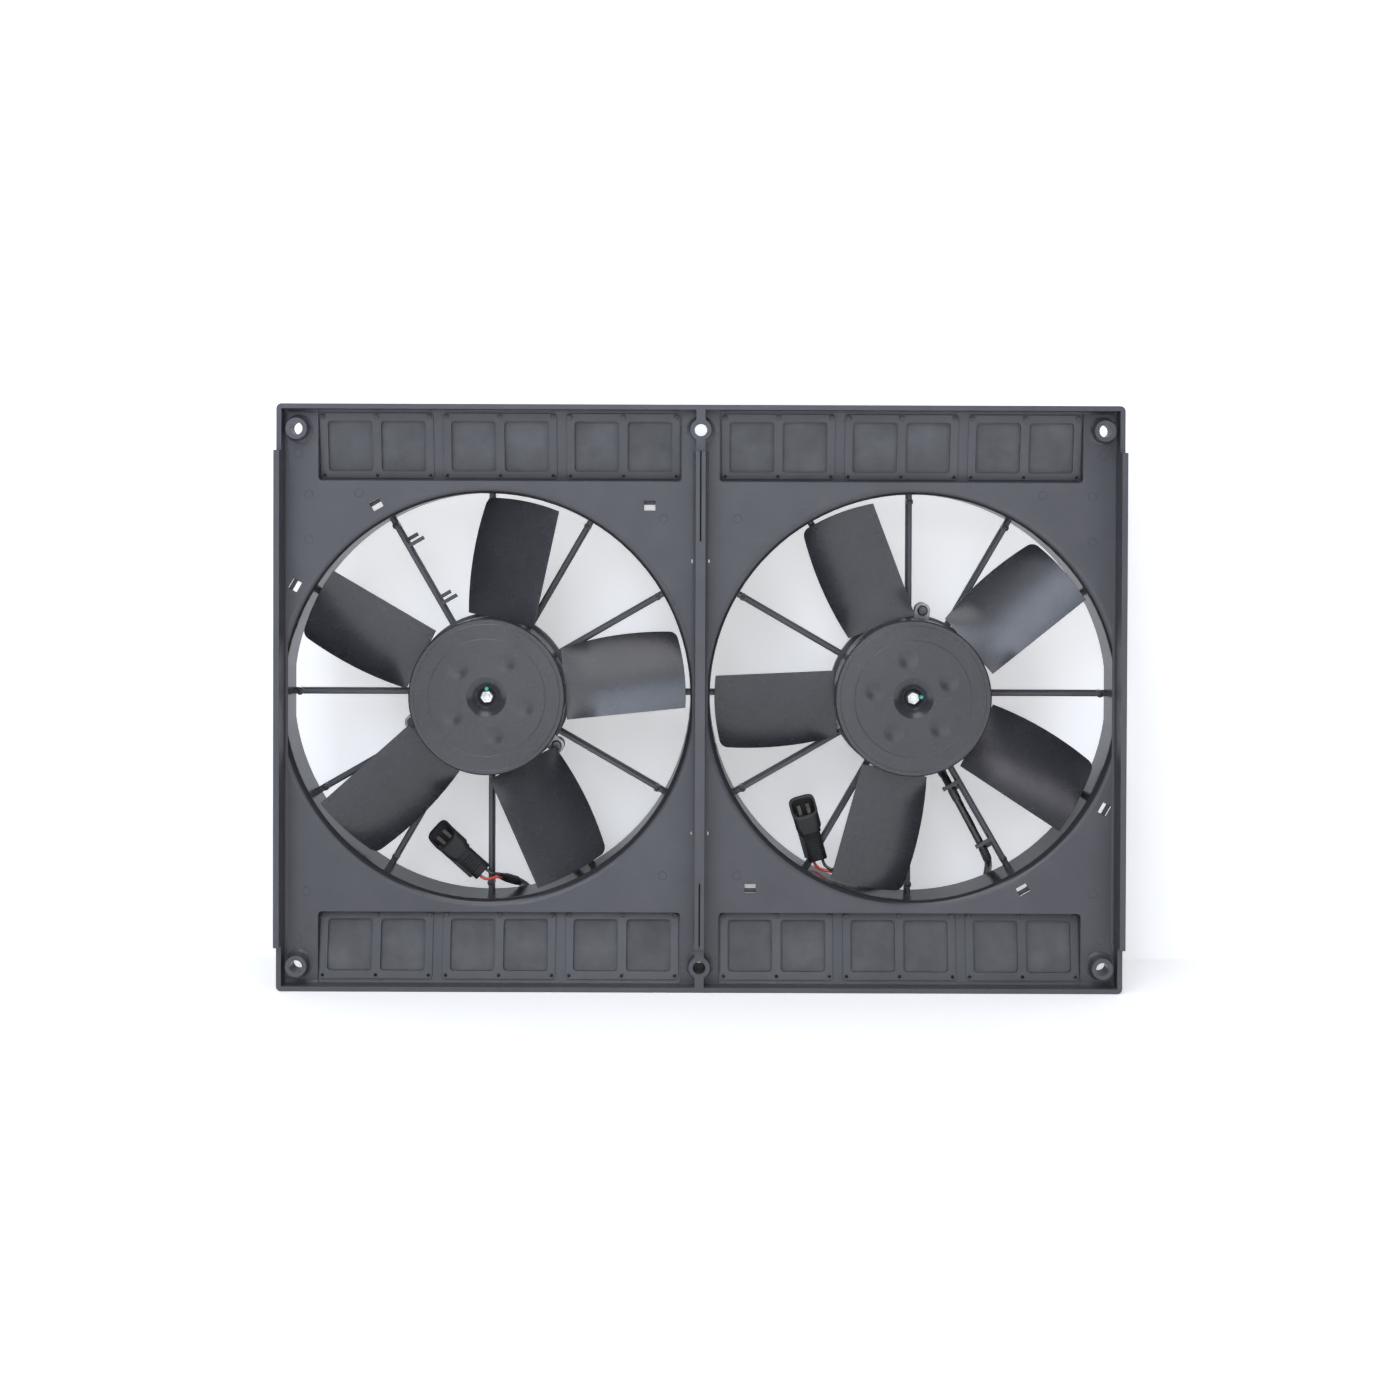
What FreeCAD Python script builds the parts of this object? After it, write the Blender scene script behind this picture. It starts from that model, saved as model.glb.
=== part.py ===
"""Dual-fan radiator shroud: a FreeCAD macro in millimetres.

The frame: X to the right along the module, Y from the radiator side (-Y) towards the
engine side (+Y), Z up. The origin is the centre of the moulding on the plane of the
bolt-boss faces. Each sub-part is an object of the document whose Label names its file
in parts/. The driving dimensions live in the sheet "Sizes".
"""
import FreeCAD, Part
import math
import os

from FreeCAD import Placement, Rotation, Vector

# --------------------------------------------------------------------------------------
# Driving dimensions, in millimetres and degrees
# --------------------------------------------------------------------------------------
SIZES = {
    # Outer body. Depths (names ending in _y) are measured from the bolt-boss faces.
    "body_width": 645.0,
    "body_height": 448.0,
    "corner_radius": 4.0,
    "rim_wall": 3.8,
    "plate_front_y": 14.5,
    "plate_thick": 3.0,
    "side_wall": 4.4,
    "tall_wall_front_y": -13.0,
    "tall_wall_stop": 35.5,
    "rib_width": 7.7,
    "rib_slot": 1.0,
    "top_slot_long": 68.0,
    "bottom_slot_long": 50.0,
    "stem_width": 7.2,
    "cross_hole_z": 104.5,
    "cross_hole_wide": 14.0,
    "cross_hole_high": 4.0,
    "cross_hole_middle": 8.0,
    "rib_bridge": 9.0,
    # Bolt bosses
    "boss_outer_radius": 8.2,
    "boss_hole_radius": 4.8,
    "boss_back_y": 21.3,
    "bolt_inset_x": 15.0,
    "bolt_inset_z": 19.0,
    # Throat rings
    "ring_pitch": 327.0,
    "throat_radius": 156.0,
    "lip_radius": 6.0,
    "ring_wall": 2.6,
    "ring_back_y": 66.0,
    # Motor rings, spokes and lead clips
    "spoke_count": 12.0,
    "spoke_front_y": 56.0,
    "spoke_web": 2.4,
    "spoke_flange_wide": 5.1,
    "spoke_flange_thick": 3.0,
    "spoke_foot_radius": 2.9,
    "motor_ring_outer_radius": 62.0,
    "motor_ring_inner_radius": 50.5,
    "clip_inner_at": 82.0,
    "clip_outer_at": 134.0,
    "clip_finger_wide": 3.0,
    "clip_finger_thick": 1.8,
    "clip_overhang": 7.0,
    # Strap slots through the plate
    "strap_slot_wide": 8.5,
    "strap_slot_high": 7.4,
    "strap_slot_ring_radius": 170.0,
    "strap_slot_first_angle": 120.0,
    "strap_slot_second_angle": 150.0,
    "strap_slot_x": 39.0,
    "strap_slot_z": 147.0,
    "strap_thick": 1.8,
    "strap_gap": 2.6,
    "strap_high": 3.2,
    # Window pockets. Sizes named *_reach are measured in from the top and bottom edges.
    "pocket_inner_x": 14.6,
    "pocket_end": 29.7,
    "pocket_reach": 58.6,
    "pocket_deep": 12.5,
    "pocket_shallow": 1.5,
    "pocket_floor": 2.4,
    "pocket_wall": 2.6,
    "pair_inner_gap": 1.4,
    "pair_outer_gap": 0.6,
    "pad_wide": 87.0,
    "pad_high": 1.0,
    "pad_low_reach": 56.7,
    "pad_top_reach": 6.7,
    "window_wide": 34.0,
    "window_offset": 20.4,
    "window_low_reach": 51.4,
    "window_top_reach": 12.8,
    "window_corner": 3.0,
    "pin_hole_radius": 1.25,
    "pin_spacing": 40.7,
    "pin_low_reach": 54.7,
    "pin_top_reach": 9.4,
    # Rubber flaps
    "flap_wide": 88.0,
    "flap_thick": 1.5,
    "flap_margin": 3.4,
    "strip_high": 6.4,
    "flap_pin_radius": 1.0,
    "flap_head_radius": 1.9,
    "flap_head_high": 1.3,
    "flap_clearance": 0.3,
    # Fans
    "hub_radius": 60.0,
    "hub_front_y": 11.0,
    "hub_back_y": 44.0,
    "hub_disc": 2.6,
    "hub_skirt": 2.4,
    "hub_bevel": 1.0,
    "recess_mouth_radius": 15.3,
    "recess_floor_radius": 8.8,
    "recess_floor_y": 17.0,
    "hub_boss_radius": 9.5,
    "hub_boss_back_y": 38.0,
    "blade_count": 5.0,
    "blade_tip_radius": 152.5,
    "blade_thick": 2.2,
    "blade_lead_y": 18.0,
    "blade_trail_y": 40.0,
    "blade_root_lead_y": 15.5,
    "blade_camber": 3.4,
    "blade_lead_root": 25.0,
    "blade_lead_tip": 27.0,
    "blade_trail_root": 28.0,
    "blade_trail_tip": 30.5,
    "blade_bow": 33.4,
    "blade_bow_at": 112.0,
    "blade_corner": 7.0,
    "blade_stock_ahead": 6.0,
    "blade_stock_behind": 9.5,
    "left_fan_turn": 7.1,
    "right_fan_turn": 40.0,
    # Motors
    "shaft_radius": 4.0,
    "shaft_thread_radius": 2.5,
    "shaft_front_y": 11.8,
    "shaft_back_y": 108.0,
    "nut_across_flats": 8.0,
    "nut_thick": 4.0,
    "bell_radius": 54.0,
    "bell_thick": 3.0,
    "bell_boss_radius": 12.0,
    "bell_boss_front_y": 42.0,
    "ear_at": 66.0,
    "ear_radius": 6.0,
    "ear_first_angle": 81.0,
    "ear_screw_radius": 2.0,
    "screw_head_radius": 4.0,
    "screw_head_high": 2.0,
    "screw_long": 9.0,
    "can_radius": 48.0,
    "can_wall": 2.0,
    "can_back_y": 105.0,
    "can_dome_radius": 12.0,
    "can_dome_back_y": 110.5,
    "bearing_radius": 8.0,
    "bearing_long": 5.0,
    "running_clearance": 0.03,
    "magnet_thick": 6.0,
    "magnet_front_y": 60.0,
    "magnet_long": 32.0,
    "magnet_span": 130.0,
    "air_gap": 1.0,
    "core_front_y": 64.0,
    "core_long": 22.0,
    "core_slots": 10.0,
    "core_slot_wide": 6.0,
    "core_slot_floor": 22.0,
    "winding_radius": 34.0,
    "winding_overhang": 5.0,
    "commutator_radius": 12.0,
    "commutator_long": 7.0,
    "brush_wide": 6.0,
    "brush_thick": 5.0,
    "brush_long": 16.0,
    "holder_thick": 2.4,
    "part_clearance": 0.3,
    # Leads
    "sleeve_diameter": 6.0,
    "wire_diameter": 2.4,
    "grommet_radius": 4.6,
    "grommet_long": 5.0,
    "lead_clearance": 0.8,
    "connector_long": 52.0,
    "connector_wide": 20.0,
    "connector_high": 9.6,
    "connector_wall": 1.8,
    "connector_cavity": 22.0,
    "connector_tail_long": 25.0,
    "connector_tail_wide": 15.0,
    "connector_tail_high": 8.6,
    "connector_y": 51.1,
    "terminal_pitch": 7.0,
    "terminal_wide": 2.8,
    "terminal_thick": 0.8,
    "seal_long": 3.0,
}

AXIS_Y = Rotation(Vector(1, 0, 0), -90)

doc = FreeCAD.newDocument("radiator_fan_shroud")
sheet = doc.addObject("Spreadsheet::Sheet", "Sizes")
for row, (alias, number) in enumerate(SIZES.items(), start=1):
    sheet.set(f"A{row}", alias)
    sheet.set(f"B{row}", str(number))
    sheet.setAlias(f"B{row}", alias)
doc.recompute()


class Size:
    """A length with its formula on the sheet, so that arithmetic keeps both together."""

    def __init__(self, text, number):
        self.text = text
        self.number = number

    def join(self, sign, other, number):
        text = other.text if isinstance(other, Size) else repr(float(other))
        return Size(f"({self.text} {sign} {text})", number)

    def __add__(self, other):
        return self.join("+", other, self.number + float(other))

    def __sub__(self, other):
        return self.join("-", other, self.number - float(other))

    def __mul__(self, other):
        return self.join("*", other, self.number * float(other))

    def __truediv__(self, other):
        return self.join("/", other, self.number / float(other))

    def __neg__(self):
        return Size(f"(-1 * {self.text})", -self.number)

    def __float__(self):
        return self.number


class Names:
    """The sheet's sizes by name."""

    def __getattr__(self, name):
        return Size("Sizes." + name, float(sheet.get(name)))


S = Names()


# --------------------------------------------------------------------------------------
# Helpers
# --------------------------------------------------------------------------------------
def bind(obj, **sizes):
    """Bind an object's properties to sizes of the sheet."""
    for name, size in sizes.items():
        if isinstance(size, Size):
            obj.setExpression(name, size.text)
        else:
            setattr(obj, name, size)
    return obj


def place(obj, rotation, x, y, z):
    """Place an object, its base point bound to the sizes given for it."""
    obj.Placement = Placement(Vector(float(x), float(y), float(z)), rotation)
    for axis, size in zip("xyz", (x, y, z)):
        if isinstance(size, Size):
            obj.setExpression("Placement.Base." + axis, size.text)
    return obj


def span(pair):
    """The distance between the two ends of a pair."""
    low, high = pair
    if isinstance(high, Size):
        return high - low
    if isinstance(low, Size):
        return -low + high
    return high - low


def block(name, x, y, z, round_y=None):
    """Box between three pairs of sizes, its four edges along Y rounded when asked."""
    box = doc.addObject("Part::Box", name)
    bind(box, Length=span(x), Width=span(y), Height=span(z))
    place(box, Rotation(), x[0], y[0], z[0])
    if round_y is None:
        return box
    rounded = doc.addObject("Part::Fillet", name + "_round")
    rounded.Base = box
    rounded.Edges = [(edge, float(round_y), float(round_y)) for edge in (2, 4, 6, 8)]
    return rounded


def rod(name, radius, y, x=0.0, z=0.0):
    """Cylinder along Y between a pair of sizes, at x and z."""
    cylinder = doc.addObject("Part::Cylinder", name)
    bind(cylinder, Radius=radius, Height=span(y))
    return place(cylinder, AXIS_Y, x, y[0], z)


def tube(name, outer, inner, y, x=0.0, z=0.0):
    """Cylinder along Y with a bore right through."""
    return cut(name, rod(name + "_outer", outer, y, x, z), rod(name + "_bore", inner, y, x, z))


def fuse(name, *shapes):
    """One solid from several touching shapes."""
    joined = doc.addObject("Part::MultiFuse", name)
    joined.Shapes = list(shapes)
    joined.Refine = True
    return joined


def cut(name, base, *tools):
    """The base less the tools."""
    result = doc.addObject("Part::Cut", name)
    result.Base = base
    result.Tool = tools[0] if len(tools) == 1 else fuse(name + "_tools", *tools)
    result.Refine = True
    return result


def common(name, *shapes):
    """What the shapes share."""
    shared = doc.addObject("Part::MultiCommon", name)
    shared.Shapes = list(shapes)
    return shared


def both_sides(name, source, normal):
    """A shape and its mirror image in a plane through the origin, as one."""
    image = doc.addObject("Part::Mirroring", name + "_image")
    image.Source = source
    image.Normal = normal
    return fuse(name, source, image)


def feature(name, shape):
    """A shape worked out with Part's own functions."""
    obj = doc.addObject("Part::Feature", name)
    obj.Shape = shape
    return obj


def copies(name, source, placements):
    """Copies of one shape at several placements, joined where they touch."""
    doc.recompute()
    turned = []
    for placement in placements:
        copy = source.Shape.copy()
        copy.Placement = placement.multiply(copy.Placement)
        turned.append(copy)
    joined = turned[0] if len(turned) == 1 else turned[0].fuse(turned[1:])
    return feature(name, joined)


def group(name, *shapes):
    """Separate solids kept together as one named piece."""
    doc.recompute()
    return feature(name, Part.makeCompound([part.Shape for part in shapes]))


def turn_about(angle, x, z=0.0):
    """Placement that turns anticlockwise, seen from the front, about a line along Y."""
    centre = Vector(float(x), 0, float(z))
    return Placement(Vector(), Rotation(Vector(0, -1, 0), angle), centre)


MIRROR_X = Vector(1, 0, 0)
MIRROR_Z = Vector(0, 0, 1)
plate_back = S.plate_front_y + S.plate_thick
half_width = S.body_width / 2
half_height = S.body_height / 2
ring_x = S.ring_pitch / 2
ring_outer = S.throat_radius + S.ring_wall
half_rib = S.rib_width / 2
tall_wall_half = half_height - S.tall_wall_stop
bolt_half_x = half_width - S.bolt_inset_x
bolt_half_z = half_height - S.bolt_inset_z
pocket_outer_x = half_width - S.pocket_end
pocket_low_z = half_height - S.pocket_reach
pad_low_z = half_height - S.pad_low_reach
pad_top_z = half_height - S.pad_top_reach
window_low_z = half_height - S.window_low_reach
window_top_z = half_height - S.window_top_reach
pin_low_z = half_height - S.pin_low_reach
pin_top_z = half_height - S.pin_top_reach
pair_first_x = S.pocket_inner_x + S.pad_wide / 2 + S.pair_inner_gap
pair_last_x = pocket_outer_x - S.pad_wide / 2 - S.pair_outer_gap
pair_pitch = (pair_last_x - pair_first_x) / 2


# --------------------------------------------------------------------------------------
# Shroud moulding
# --------------------------------------------------------------------------------------
def shroud_walls():
    """Plate, rim, tall side walls, centre rib with its stems, one quarter mirrored twice."""
    deep = (0.0, plate_back)
    tall = (S.tall_wall_front_y, plate_back)
    plate = block("plate", (0.0, half_width), (S.plate_front_y, plate_back), (0.0, half_height))
    rim_end = block("rim_end", (half_width - S.rim_wall, half_width), deep, (0.0, half_height))
    rim_long = block("rim_long", (0.0, half_width), deep, (half_height - S.rim_wall, half_height))
    side = block("tall_side", (half_width - S.side_wall, half_width), tall, (0.0, tall_wall_half))
    rib = block("centre_rib", (0.0, half_rib), tall, (0.0, tall_wall_half))
    stem = block("rib_stem", (0.0, S.stem_width / 2), deep, (tall_wall_half, half_height))
    boss = rod("corner_boss", S.boss_outer_radius, (0.0, S.boss_back_y), bolt_half_x, bolt_half_z)
    middle = rod("middle_boss", S.boss_outer_radius, (0.0, S.boss_back_y), 0.0, bolt_half_z)
    ring = rod("ring_outer", ring_outer, (S.plate_front_y, S.ring_back_y), ring_x)
    half_ring = common("ring_half", ring, block("ring_zone", (0.0, S.body_width), (0.0, S.ring_back_y),
                                                (0.0, S.body_height)))
    quarter = fuse("wall_quarter", plate, rim_end, rim_long, side, rib, stem, boss, middle, half_ring)
    half = both_sides("wall_half", quarter, MIRROR_X)
    whole = both_sides("wall_whole", half, MIRROR_Z)
    envelope = block("envelope", (-half_width, half_width), (S.tall_wall_front_y, S.ring_back_y),
                     (-half_height, half_height), S.corner_radius)
    return common("walls", whole, envelope)


def pocket_profile(name, x, grow):
    """Ramped pocket body as a prism along X: its floor rises from the ring to the rim."""
    low = float(pocket_low_z) - grow
    high = float(half_height) - (0 if grow else float(S.rim_wall))
    front = float(S.plate_front_y)
    deep = front + float(S.pocket_deep) + (float(S.pocket_floor) if grow else 0)
    shallow = front + float(S.pocket_shallow) + (float(S.pocket_floor) if grow else 0)
    slope = (deep - shallow) / (float(half_height) - float(S.rim_wall) - float(pocket_low_z))
    deep += slope * grow
    shallow -= slope * (high - float(half_height) + float(S.rim_wall))
    start = float(x[0])
    outline = Part.makePolygon([Vector(start, front, low), Vector(start, deep, low),
                                Vector(start, shallow, high), Vector(start, front, high),
                                Vector(start, front, low)])
    return feature(name, Part.Face(outline).extrude(Vector(float(x[1]) - start, 0, 0)))


def pocket_cavity():
    """What the pocket's inside takes out of its block."""
    x = (S.pocket_inner_x, pocket_outer_x)
    ramp = pocket_profile("pocket_ramp", x, 0.0)
    rounded = block("pocket_plan", x, (S.plate_front_y, S.plate_front_y + S.pocket_deep + 5),
                    (pocket_low_z, half_height - S.rim_wall), S.window_corner)
    return common("pocket_cavity", ramp, rounded)


def pair_centres():
    """X of the three window pairs of a pocket."""
    return [pair_first_x + pair_pitch * index for index in range(3)]


def pocket_pads():
    """Raised pad round each window pair: the layer that lies on the ramp."""
    span_x = (S.pocket_inner_x, pocket_outer_x)
    pads = []
    for index, centre in enumerate(pair_centres()):
        x = (centre - S.pad_wide / 2, centre + S.pad_wide / 2)
        plan = block(f"pad_plan_{index}", x, (S.plate_front_y, S.ring_back_y),
                     (pad_low_z, pad_top_z), S.window_corner)
        above = pocket_profile(f"pad_above_{index}", span_x, 0.0)
        above.Placement = Placement(Vector(0, -float(S.pad_high), 0), Rotation())
        layer = common(f"pad_layer_{index}", pocket_profile(f"pad_ramp_{index}", span_x, 0.0), plan)
        pads.append(cut(f"pad_{index}", layer, above))
    return pads


def window_cutters():
    """Two windows and six pin holes for each pair of a pocket."""
    through = (S.plate_front_y, S.ring_back_y)
    cutters = []
    for index, centre in enumerate(pair_centres()):
        for side in (-1, 1):
            middle = centre + S.window_offset * side
            cutters.append(block(f"window_{index}_{side}", (middle - S.window_wide / 2,
                                                            middle + S.window_wide / 2),
                                 through, (window_low_z, window_top_z), S.window_corner))
        for place_x in (-1, 0, 1):
            for row, height in enumerate((pin_low_z, pin_top_z)):
                cutters.append(rod(f"pin_hole_{index}_{place_x}_{row}", S.pin_hole_radius, through,
                                   centre + S.pin_spacing * place_x, height))
    return cutters


def window_pockets(walls):
    """Add four ramped pockets with their windows, one quarter mirrored twice."""
    body = pocket_profile("pocket_body", (S.pocket_inner_x - S.pocket_wall,
                                          pocket_outer_x + S.pocket_wall), float(S.pocket_wall))
    bodies = both_sides("pocket_bodies", both_sides("pocket_body_pair", body, MIRROR_X), MIRROR_Z)
    hollow = cut("pocket_hollow", pocket_cavity(), *pocket_pads())
    cutter = fuse("pocket_cutter", hollow, *window_cutters())
    cutters = both_sides("pocket_cutters", both_sides("pocket_cutter_pair", cutter, MIRROR_X), MIRROR_Z)
    return cut("pocketed", fuse("with_pockets", walls, bodies), cutters)


def throat_cutter():
    """Bell-mouth throat, trimmed by the side wall and the centre rib."""
    through = (S.plate_front_y, S.ring_back_y + 1)
    bore = rod("throat_bore", S.throat_radius, through, ring_x)
    lip_disc = rod("lip_disc", S.throat_radius + S.lip_radius,
                   (S.plate_front_y, S.plate_front_y + S.lip_radius), ring_x)
    lip_round = doc.addObject("Part::Torus", "lip_round")
    bind(lip_round, Radius1=S.throat_radius + S.lip_radius, Radius2=S.lip_radius)
    place(lip_round, AXIS_Y, ring_x, S.plate_front_y + S.lip_radius, 0.0)
    zone = block("throat_zone", (half_rib, half_width - S.side_wall), through,
                 (-half_height, half_height))
    mouth = fuse("throat_mouth", bore, cut("lip_cut", lip_disc, lip_round))
    return common("throat_cut", mouth, zone)


def spoke():
    """One spoke of the ring centred on the origin, along +X: web, flange and foot."""
    start, end = S.motor_ring_outer_radius - 2, S.throat_radius + S.ring_wall / 2
    web = block("spoke_web_bar", (start, end), (S.spoke_front_y, S.ring_back_y),
                (-(S.spoke_web / 2), S.spoke_web / 2))
    flange = block("spoke_flange_bar", (start, end), (S.ring_back_y - S.spoke_flange_thick, S.ring_back_y),
                   (-(S.spoke_flange_wide / 2), S.spoke_flange_wide / 2))
    foot = rod("spoke_foot", S.spoke_foot_radius, (S.spoke_front_y, S.ring_back_y),
               S.throat_radius - S.spoke_foot_radius * 2)
    return fuse("spoke", web, flange, foot)


def clip_fingers():
    """Lead clips of the spoke along +X: a long finger in front of the lead, a short one behind."""
    fingers = []
    bend = S.sleeve_diameter + S.lead_clearance * 2
    for name, at in (("inner", S.clip_inner_at), ("outer", S.clip_outer_at)):
        near, far = at - S.clip_finger_wide - 1, at + 1
        front = (S.spoke_front_y, S.spoke_front_y + S.clip_finger_thick)
        back = (front[1] + bend, front[1] + bend + S.clip_finger_thick)
        reach = S.spoke_web / 2 + S.sleeve_diameter + S.clip_overhang
        fingers.append(block(f"clip_{name}_front", (near, near + S.clip_finger_wide), front,
                             (-reach, 0.0)))
        fingers.append(block(f"clip_{name}_tip", (near, near + S.clip_finger_wide),
                             (S.spoke_front_y, S.spoke_front_y + S.clip_finger_thick * 2),
                             (-reach, -reach + S.clip_finger_thick)))
        fingers.append(block(f"clip_{name}_back", (far, far + S.clip_finger_wide), back,
                             (-reach + S.clip_finger_thick * 2, 0.0)))
    return fuse("clip_fingers", *fingers)


def motor_carriers():
    """Motor ring, twelve spokes and two clipped spokes in each throat."""
    ring = tube("motor_ring", S.motor_ring_outer_radius, S.motor_ring_inner_radius,
                (S.spoke_front_y, S.ring_back_y))
    lug = rod("ear_lug", S.ear_radius, (S.spoke_front_y, S.ring_back_y), S.ear_at)
    pilot = rod("ear_pilot", S.ear_screw_radius, (S.spoke_front_y, S.ring_back_y), S.ear_at)
    count = round(float(S.spoke_count))
    ear_turns = [turn_about(float(S.ear_first_angle) + 120 * index, 0) for index in range(3)]
    spokes = copies("spokes", spoke(), [turn_about(360 / count * index, 0) for index in range(count)])
    clips = copies("clips", clip_fingers(), [turn_about(120, 0), turn_about(-60, 0)])
    lugs = copies("ear_lugs", lug, ear_turns)
    bore = rod("motor_bore", S.motor_ring_inner_radius, (S.spoke_front_y, S.ring_back_y))
    spider = cut("spider", fuse("spider_solid", ring, spokes, clips, lugs), bore,
                 copies("ear_pilots", pilot, ear_turns))
    sides = [Placement(Vector(side * float(ring_x), 0, 0), Rotation()) for side in (-1, 1)]
    return [copies(f"spider_{name}", spider, [side]) for name, side in zip(("left", "right"), sides)]


def rib_openings():
    """Slots beside the centre rib and the plus-shaped holes that it bridges."""
    slots = []
    tall = (S.tall_wall_front_y, S.plate_front_y)
    for name, long, sign in (("top", S.top_slot_long, 1), ("bottom", S.bottom_slot_long, -1)):
        ends = sorted((tall_wall_half * sign, (tall_wall_half - long) * sign), key=float)
        slots.append(block(f"rib_slot_{name}", (-(S.rib_slot / 2), S.rib_slot / 2), tall, ends))
    through = (S.plate_front_y + 0.0, plate_back)
    for sign in (-1, 1):
        height = S.cross_hole_z * sign
        slots.append(block(f"cross_wide_{sign}", (-(S.cross_hole_wide / 2), S.cross_hole_wide / 2),
                           through, (height - S.cross_hole_high / 2, height + S.cross_hole_high / 2),
                           S.cross_hole_high / 2 - 0.1))
        slots.append(block(f"cross_middle_{sign}", (-(S.rib_bridge / 2), S.rib_bridge / 2), through,
                           (height - S.cross_hole_middle / 2, height + S.cross_hole_middle / 2)))
    return slots


def strap_places():
    """Placements of the six strap slots: three, and the same three turned half round the middle."""
    places = []
    for angle in (float(S.strap_slot_first_angle), float(S.strap_slot_second_angle)):
        turn, reach = math.radians(angle), float(S.strap_slot_ring_radius)
        centre = Vector(math.cos(turn) * reach - float(ring_x), 0, math.sin(turn) * reach)
        places.append(Placement(centre, Rotation(Vector(0, -1, 0), angle - 90)))
    places.append(Placement(Vector(-float(S.strap_slot_x), 0, float(S.strap_slot_z)), Rotation()))
    return places + [turn_about(180, 0).multiply(placement) for placement in places]


def strap_slots():
    """The slots, and the strap that bridges each one behind the plate."""
    half, high = S.strap_slot_wide / 2, S.strap_slot_high / 2
    slot = block("strap_slot", (-half, half), (S.plate_front_y, plate_back), (-high, high))
    outer = half + S.strap_thick
    behind = plate_back + S.strap_gap
    strap = block("strap", (-outer, outer), (behind, behind + S.strap_thick), (high - S.strap_high, high))
    legs = [block(f"strap_leg_{side}", sorted((half * side, outer * side), key=float),
                  (plate_back - 1, behind + S.strap_thick), (high - S.strap_high, high)) for side in (-1, 1)]
    return (copies("strap_slots", slot, strap_places()),
            copies("straps", fuse("strap_solid", strap, *legs), strap_places()))


def shroud_moulding():
    """The whole one-piece moulding."""
    base = window_pockets(shroud_walls())
    throat = throat_cutter()
    throats = both_sides("throats", throat, MIRROR_X)
    holes = []
    for name, x in (("left", -bolt_half_x), ("middle", Size("0", 0.0)), ("right", bolt_half_x)):
        for sign in (-1, 1):
            holes.append(rod(f"bolt_hole_{name}_{sign}", S.boss_hole_radius, (0.0, S.boss_back_y),
                             x, bolt_half_z * sign))
    slots, straps = strap_slots()
    opened = cut("opened", base, throats, slots, *holes, *rib_openings())
    return fuse("shroud_moulding", opened, straps, *motor_carriers())


# --------------------------------------------------------------------------------------
# Rubber flaps
# --------------------------------------------------------------------------------------
def flap_places():
    """Name, centre X, hinge-row height and ramp tilt of the twelve flaps, seen left to right."""
    run = float(half_height - S.rim_wall - pocket_low_z)
    tilt = math.degrees(math.atan((float(S.pocket_deep) - float(S.pocket_shallow)) / run))
    centres = sorted([float(centre) * side for centre in pair_centres() for side in (-1, 1)])
    rows = (("top", pin_top_z, tilt), ("bottom", -pin_low_z, -tilt))
    return [(f"{row}_{index}", x, float(height), angle)
            for row, height, angle in rows for index, x in enumerate(centres, start=1)]


def floor_back(height):
    """Depth of the ramped floor's back face at a height."""
    run = float(half_height - S.rim_wall - pocket_low_z)
    slope = (float(S.pocket_deep) - float(S.pocket_shallow)) / run
    deep = float(S.plate_front_y + S.pocket_deep + S.pocket_floor)
    return deep - slope * (abs(height) - float(pocket_low_z))


def on_ramp(x, height, tilt):
    """Placement on the floor's back face: X along the flap, Y off the floor, Z up the ramp."""
    return Placement(Vector(x, floor_back(height), height), Rotation(Vector(1, 0, 0), tilt))


def strip_sheet():
    """The fixed upper edge of a flap, about its pin row."""
    half = S.flap_wide / 2
    return block("strip_sheet", (-half, half), (0.0, S.flap_thick), (-(S.strip_high / 2), S.strip_high / 2))


def strip_pin(tilt):
    """Pull-through pin from the sheet to its head on the ramped pad, along Y."""
    seat = -(S.pocket_floor + S.pad_high + S.flap_head_radius * math.tan(math.radians(abs(tilt))))
    shank = rod("strip_pin_shank", S.flap_pin_radius, (seat, S.flap_thick * 0.8))
    return fuse("strip_pin", shank, rod("strip_pin_head", S.flap_head_radius, (seat - S.flap_head_high, seat)))


def flap_leaf():
    """The hinged leaf below the strip, covering both windows of a pair."""
    half = S.flap_wide / 2
    bead = S.flap_thick / 2
    hinge = -(S.strip_high / 2 + S.flap_clearance + bead)
    reach = pin_top_z - window_low_z + S.flap_margin
    sheet_body = block("leaf_sheet", (-half, half), (S.flap_clearance, S.flap_clearance + S.flap_thick),
                       (-reach, hinge), S.window_corner)
    roll = doc.addObject("Part::Cylinder", "leaf_bead")
    bind(roll, Radius=bead, Height=S.flap_wide - S.window_corner * 2)
    place(roll, Rotation(Vector(0, 1, 0), 90), S.window_corner - half, S.flap_clearance + bead, hinge)
    return fuse("flap_leaf", sheet_body, roll)


def flap_strips():
    """All twelve strips with their pins, as one group of separate solids."""
    places = flap_places()
    sheets = copies("strip_sheets", strip_sheet(), [on_ramp(x, z, tilt) for _, x, z, tilt in places])
    spacing = float(S.pin_spacing)
    stations = [Placement(Vector(x + spacing * side, floor_back(z), z), Rotation())
                for _, x, z, _ in places for side in (-1, 0, 1)]
    pins = copies("strip_pins", strip_pin(places[0][3]), stations)
    return feature("flap_strips", sheets.Shape.fuse(pins.Shape))


def flaps():
    """All strips as one group, and each leaf by itself."""
    leaf = flap_leaf()
    return [flap_strips()] + [copies(f"flap_{name}", leaf, [on_ramp(x, z, tilt)])
                              for name, x, z, tilt in flap_places()]


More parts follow.
